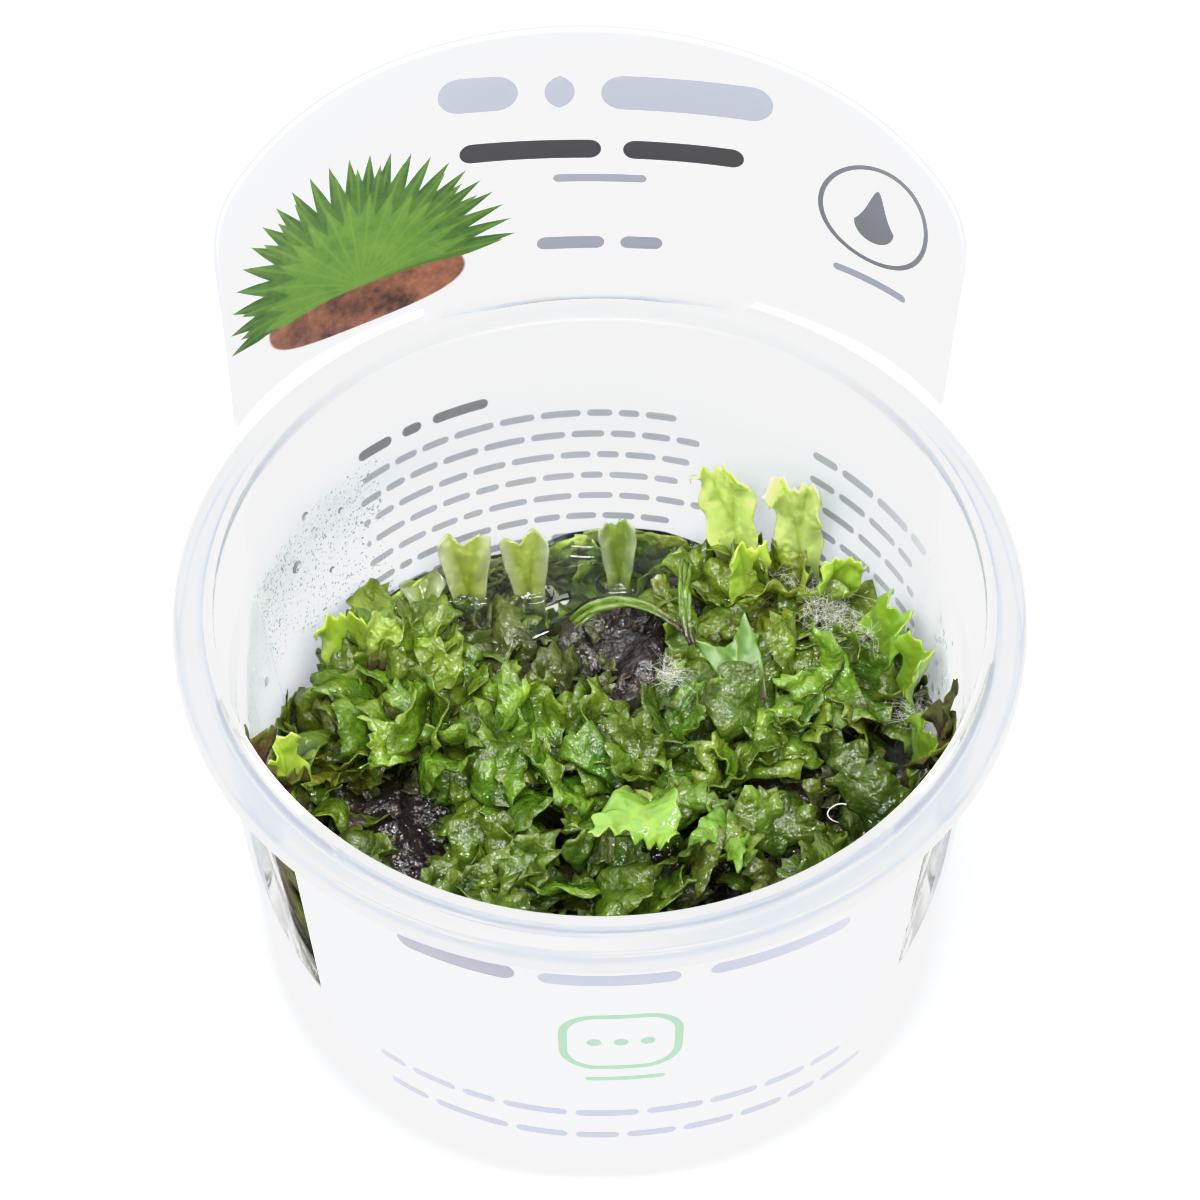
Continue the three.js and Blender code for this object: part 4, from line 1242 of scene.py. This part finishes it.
def make_frond(order, name, base, tip, face, width, fork, bulge, kind, colour):
    """The midline's middle stands out from the chord by twice the bulge, along the frond's normal."""
    base, tip = np.array(base, float), np.array(tip, float)
    side = np.cross(face, tip - base)
    middle = (base + tip) / 2 + 2 * bulge * unit(np.cross(tip - base, side))
    points, faces, tint = frond_sheet(
        SEED * 1000 + order, base, middle, tip, face, width, fork, colour, name in HORNED,
        RUFFLE.get(name, 1.0), name in MILKY)
    finish = "dull_frond" if name == "frond_forked" else "milky_frond" if name in MILKY else "frond"
    finish = thallus_material(finish)
    return put(name + "_thallus", points, faces, [finish], [name], tint=tint)


def make_straps():
    """The loose narrow thalli, each a small frond of its own."""
    for order, (name, (base, middle, tip, face, width, fork, colour)) in enumerate(STRAPS.items()):
        points, faces, tint = frond_sheet(
            SEED * 2000 + order, base, middle, tip, face, width, fork, colour, fork > 1, 0.9,
            along=22, across=15)
        put(name, points, faces, [thallus_material("mid")], tint=tint)


def make_submerged():
    """Thalli in the gel behind the clumps: crumpled lobes on the arc from left to back, then upright ones
    along the wall, and some that stand out of the gel where the clumps leave a gap. Those under the gel are
    painted four times as pale as the others: painted light that makes up for the little light reaching them
    through the gel."""
    random = np.random.default_rng(SEED * 31)
    loose, walled, standing = 90, 120, 34
    turn = np.radians(np.append(random.uniform(-68, 40, loose), random.uniform(-56, 26, walled)))
    height = np.append(random.uniform(5.5, 8.5, loose), random.uniform(4, 15.5, walled))
    out = np.append(random.uniform(21, 30.5, loose), tub_inside(height[loose:]) - 0.8)
    base = np.column_stack([out * np.sin(turn), out * np.cos(turn), height])
    shore = np.array([-11, 20.6, 13.2]) + random.uniform(-1, 1, (standing, 3)) * (4, 2.4, 1)
    base = np.vstack([base, shore])
    count = loose + walled + standing
    heading = random.uniform(0, 6.28, count)
    heading[loose:loose + walled] = np.pi / 2 - turn[loose:]
    rise = np.radians(np.concatenate([
        random.uniform(5, 50, loose),
        random.uniform(75, 100, walled),
        random.uniform(10, 60, standing),
    ]))
    length = random.uniform(4, 6.5, count)
    spread = random.uniform(0.5, 1, count)
    grid, u, crumple, margin = lobe_grid(random, base, heading, rise, length, spread, 7, 13)
    grid = keep_inside(grid, 0.5)
    ceiling = gel_level(grid[..., 0], grid[..., 1]) - 1.0
    ceiling[loose:loose + walled] += 0.5
    ceiling[loose + walled:] += 3
    grid[..., 2] = np.clip(grid[..., 2], GEL_FOOT + 0.5, ceiling)
    points, faces = closed_leaves(grid, SUNK_THICKNESS * (1 - 0.6 * margin))
    tint = lobe_tint(random, u, crumple, margin, SUNK_GREEN, random.uniform(0, 0.3, count))
    # Painted light: the lobes under the gel are four times paler to make up for how dark the gel leaves
    # them
    tint[:loose + walled] *= 4
    tint = tint.reshape(-1, 3)
    put("submerged_thalli", points, faces, [thallus_material("dark")],
        tint=np.vstack([tint, tint]))


def make_pressed():
    """Thalli that lie against the wall beside the notches of the sleeve: lobes that climb the wall, brown
    towards the back and green towards the front on the left, brown on the right."""
    random = np.random.default_rng(SEED * 37)
    count = 190
    side = np.where(np.arange(count) % 2 == 0, -1, 1)
    away = random.uniform(98, 148, count)
    height = random.uniform(12, 32, count)
    turn = np.radians(away * side)
    out = tub_inside(height) - 0.7
    base = np.column_stack([out * np.sin(turn), out * np.cos(turn), height])
    rise = np.radians(random.uniform(74, 100, count))
    length = random.uniform(4, 6.5, count)
    spread = random.uniform(0.5, 1, count)
    grid, u, crumple, margin = lobe_grid(random, base, np.pi / 2 - turn, rise, length, spread, 8, 13)
    grid = keep_inside(grid)
    points, faces = closed_leaves(grid, SUNK_THICKNESS * (1 - 0.6 * margin))
    green = (smooth(away, 112, 126) * (side < 0))[:, None]
    colour = BROWN * 1.6 * (1 - green) + PRESSED_GREEN * green
    dark = random.uniform(0, 0.4, count) * (1 - green[:, 0])
    tint = lobe_tint(random, u, crumple, margin, colour, dark).reshape(-1, 3)
    put("pressed_thalli", points, faces, [thallus_material("matte")],
        tint=np.vstack([tint, tint]))


# Drops and threads

def lidded(count, rows, sides):
    """Faces of closed tubes of rings of points: quads between the rings, and a lid on both ends."""
    start = (np.arange(count) * rows * sides)[:, None, None]
    quads = (grid_quads(rows, sides, wrap_columns=True)[None] + start).reshape(-1, 4)
    foot = np.arange(sides)[::-1][None] + start[:, 0]
    end = np.arange((rows - 1) * sides, rows * sides)[None] + start[:, 0]
    return [quads, foot, end]


def domes(centres, normals, radii, flatness):
    """Low domes of three rings of six points, which lie at the polar angles 100, 60 and 25 degrees; the
    flatness is the height over the radius."""
    sides = 6
    polar = np.radians([100, 60, 25])[None, :, None]
    turn = np.radians(np.arange(sides) * 60)[None, None, :]
    first = np.cross(normals, (0.31, 0.52, 0.79))
    first /= np.linalg.norm(first, axis=1, keepdims=True)
    second = np.cross(normals, first)
    radii = radii[:, None, None]
    across = radii * np.sin(polar) * np.cos(turn)
    beside = radii * np.sin(polar) * np.sin(turn)
    up = radii * flatness * np.cos(polar) + 0 * across
    points = centres[:, None, None] + across[..., None] * first[:, None, None]
    points = points + beside[..., None] * second[:, None, None]
    points = points + up[..., None] * normals[:, None, None]
    return points.reshape(-1, 3), lidded(len(centres), 3, sides)


def on_wall(angle, height):
    """Points on the inner wall at angles from the back's middle, and the way inwards from each."""
    turn = np.radians(angle)
    radius = tub_inside(height)
    places = np.column_stack([radius * np.sin(turn), radius * np.cos(turn), height])
    return places, np.column_stack([-np.sin(turn), -np.cos(turn), np.full_like(turn, TUB_DRAFT)])


def water():
    """Clear water, with a surface that is never quite even."""
    material, tree, principled = new_material(
        "clear_drops", Base_Color=(0.97, 0.985, 0.99, 1), Transmission_Weight=1.0, IOR=1.33,
        Roughness=0.02)
    _, vector = coordinates(tree)
    bump(tree, principled, noise(tree, vector, 900, 2), 0.15, 0.05)
    return material


DEW = 2800
BEADS = 110
DEW_TOP = 37.2
# The bigger drops: degrees, height, radius
BIG_DROPS = np.array([
    (-54, 39.4, 0.5), (-75, 26, 0.55), (-40, 18.4, 0.5), (-58.4, 32.3, 0.75), (-45.9, 33.6, 0.4),
    (-62, 34.5, 0.35), (-50, 27, 0.4), (-66, 29, 0.3),
])


def make_drops():
    """Fine dew on the left of the wall above a slanting line, a few bigger drops, beads on the right."""
    random = np.random.default_rng(SEED * 17)
    angle = random.uniform(-97, -37, DEW)
    clear_line = 18.4 + (-40 - angle) * 7.6 / 35
    height = clear_line + (DEW_TOP - clear_line) * random.uniform(0, 1, DEW) ** 0.85
    radius = 0.05 + 0.1 * random.uniform(0, 1, DEW) ** 3
    right_angle = random.uniform(76, 97, BEADS)
    right_height = random.uniform(24, 36.5, BEADS)
    right_radius = 0.1 + 0.3 * random.uniform(0, 1, BEADS) ** 2
    angle = np.concatenate([angle, BIG_DROPS[:, 0], right_angle])
    height = np.concatenate([height, np.minimum(BIG_DROPS[:, 1], DEW_TOP), right_height])
    radius = np.concatenate([radius, BIG_DROPS[:, 2], right_radius])
    places, inwards = on_wall(angle, height)
    points, faces = domes(places, inwards, radius, 0.55)
    put("wall_drops", points, faces, [water()])


def make_bubbles():
    """Small bubbles in the wet edge of the plant at the front."""
    random = np.random.default_rng(SEED * 19)
    count = 34
    x = random.uniform(7, 20, count)
    y = -np.sqrt(tub_inside(23) ** 2 - x ** 2) + random.uniform(0.6, 2.6, count)
    places = np.column_stack([x, y, cushion_height(x, y) + random.uniform(-0.6, 0.6, count)])
    upwards = np.tile([0, 0, 1.0], (count, 1))
    points, faces = domes(places, upwards, random.uniform(0.22, 0.5, count), 1.0)
    put("bubbles", points, faces, [water()])


def tubes(paths, radius, sides=4):
    """Closed tubes: a ring of points round each point of each path, at the radius times 1 - 0.6 s^3, and a
    lid on both ends."""
    ahead = np.gradient(paths, axis=1)
    ahead /= np.linalg.norm(ahead, axis=-1, keepdims=True)
    first = np.cross(ahead, (0.31, 0.52, 0.79))
    first /= np.linalg.norm(first, axis=-1, keepdims=True)
    second = np.cross(ahead, first)
    turn = np.arange(sides) / sides * 2 * np.pi
    taper = (1 - 0.6 * np.linspace(0, 1, paths.shape[1]) ** 3)[None, :, None, None]
    around = np.cos(turn)[:, None] * first[..., None, :] + np.sin(turn)[:, None] * second[..., None, :]
    points = paths[:, :, None] + radius * taper * around
    count, steps = paths.shape[:2]
    return points.reshape(-1, 3), lidded(count, steps, sides)


# Where fine white rhizoids show: x, y, height, spread, count
FUZZ = [
    (7.4, 8.6, 24.6, 1.0, 90),
    (23.4, 15.4, 25.5, 1.9, 170),
    (26.8, 12, 26, 1.3, 100),
    (31, 2.4, 25.5, 1.1, 90),
    (20.2, 19.5, 24, 1.7, 110),
]
# Loose white curls: x, y, height, radius of the curl, turn at which it starts
CURLS = [(22.6, -9.6, 25.6, 1.4, 0.4), (26.4, -9.8, 25.4, 1.2, 2.6)]
THREAD_RADIUS = 0.009
CURL_RADIUS = 0.06


def make_rhizoids():
    """Hair-fine threads: path = foot + s * heading + s^2 * droop + a sine wave across, and a few open
    curls."""
    random = np.random.default_rng(SEED * 23)
    material, tree, principled = new_material("white_rhizoids", Roughness=0.35, IOR=1.4)
    _, vector = coordinates(tree)
    colour = mix_colour(tree, noise(tree, vector, 300, 2), (0.5, 0.5, 0.42, 1), (0.85, 0.85, 0.8, 1))
    tree.links.new(colour, principled.inputs["Base Color"])
    spots = np.array(FUZZ)
    which = np.repeat(np.arange(len(spots)), spots[:, 4].astype(int))
    count = len(which)
    scatter = random.normal(0, 1, (count, 3)) * spots[which, 3][:, None] * (0.55, 0.55, 0.3)
    foot = spots[which, :3] + scatter
    turn, rise = random.uniform(0, 6.28, count), random.uniform(-0.5, 1.1, count)
    flat = np.cos(rise)
    heading = np.column_stack([flat * np.cos(turn), flat * np.sin(turn), np.sin(rise)])
    s = np.linspace(0, 1, 6)[None, :, None] * random.uniform(1.2, 3.2, (count, 1, 1))
    sway = np.sin(s * 2.2 + random.uniform(0, 6.28, (count, 1, 1)))
    sway = sway * random.normal(0, 0.4, (count, 1, 3))
    threads = foot[:, None] + s * heading[:, None] + s ** 2 * np.array([0, 0, -0.12]) + sway
    points, faces = tubes(keep_inside(threads), THREAD_RADIUS)
    curl = np.array(CURLS)
    part = np.linspace(0, 1, 20)[None, :]
    arc = curl[:, 4:5] + part * 4.2
    around = curl[:, 3:4] * (1 - 0.35 * part)
    curls = np.stack([
        curl[:, 0:1] + around * np.cos(arc),
        curl[:, 1:2] + around * np.sin(arc),
        curl[:, 2:3] + 0.15 * np.sin(2 * arc),
    ], axis=-1)
    curl_points, curl_faces = tubes(keep_inside(curls), CURL_RADIUS)
    faces = faces + [part + len(points) for part in curl_faces]
    put("rhizoids", np.vstack([points, curl_points]), faces, [material])


# Stage and light

def make_stage():
    """A wide matte white floor that glows a little, as a lit table does."""
    size = 3000
    points = size * np.array([[-1, -1, 0], [1, -1, 0], [1, 1, 0], [-1, 1, 0]], float)
    mesh = bpy.data.meshes.new("floor")
    mesh.from_pydata((points * MM).tolist(), [], [(0, 1, 2, 3)])
    material, _, _ = new_material(
        "floor_white", Base_Color=(0.97, 0.97, 0.975, 1), Roughness=0.9, Emission_Color=(1, 1, 1, 1),
        Emission_Strength=0.34)
    mesh.materials.append(material)
    floor = bpy.data.objects.new("floor", mesh)
    bpy.context.scene.collection.objects.link(floor)


LIGHT_TARGET = np.array([0, 0, 20.0])


def softbox(name, place, size, watts, sparkle=True):
    """A rectangular lamp that faces the plant; one that doesn't sparkle isn't mirrored in glossy things."""
    data = bpy.data.lights.new(name, "AREA")
    data.shape = "RECTANGLE"
    data.size, data.size_y = (s * MM for s in size)
    data.energy = watts
    light = bpy.data.objects.new(name, data)
    back = unit(np.array(place, float) - LIGHT_TARGET)
    right = unit(np.cross((0, 0, 1.0), back))
    matrix = np.eye(4)
    matrix[:3, :3] = np.column_stack([right, np.cross(back, right), back])
    matrix[:3, 3] = np.array(place) * MM
    light.matrix_world = Matrix(matrix.tolist())
    light.visible_glossy = sparkle
    bpy.context.scene.collection.objects.link(light)


# Lamps that show as fine sparkles on wet things: place, size, watts
STRIPS = {
    "strip_left": ((-230, -80, 480), (34, 150), 0.7),
    "strip_right": ((240, -90, 470), (34, 150), 0.7),
    "strip_front": ((40, -330, 420), (150, 34), 0.5),
    "strip_front_left": ((-190, -240, 440), (34, 120), 0.5),
    "strip_back": ((-60, 170, 520), (150, 34), 0.7),
    "strip_top": ((70, -40, 560), (34, 150), 0.7),
}
# How the picture's whites are held back: scene brightness and the tone it is shown at
WHITE_LEVEL = 2.25
TONES = [
    (0.055, 0.065), (0.11, 0.138), (0.175, 0.228), (0.32, 0.43), (0.48, 0.64), (0.59, 0.79),
    (0.69, 0.875), (0.95, 0.9), (1.4, 0.918), (1.9, 0.928), (2.05, 0.95), (2.2, 0.995),
]


def make_light():
    """A bright even studio: pale surroundings, one wide softbox over the front, and the strips."""
    scene = bpy.context.scene
    world = bpy.data.worlds.new("studio")
    world.use_nodes = True
    background = next(n for n in world.node_tree.nodes if n.type == "BACKGROUND")
    background.inputs["Color"].default_value = (0.97, 0.98, 1.0, 1)
    background.inputs["Strength"].default_value = 1.3
    scene.world = world
    softbox("softbox_wide", (-60, -230, 680), (620, 520), 1.6, sparkle=False)
    for name, (place, size, watts) in STRIPS.items():
        softbox(name, place, size, watts)
    view = scene.view_settings
    view.view_transform = "Standard"
    view.use_curve_mapping = True
    view.curve_mapping.white_level = (WHITE_LEVEL, WHITE_LEVEL, WHITE_LEVEL)
    curve = view.curve_mapping.curves[3]
    for light, tone in TONES:
        curve.points.new(light / WHITE_LEVEL, tone)
    view.curve_mapping.update()


make_camera()
make_tub()
make_sleeve()
make_gel()
for order, clump in enumerate(CLUMPS):
    make_clump(order, *clump)
for order, frond in enumerate(FRONDS):
    make_frond(order, *frond)
make_straps()
make_submerged()
make_pressed()
make_drops()
make_bubbles()
make_rhizoids()
make_stage()
make_light()
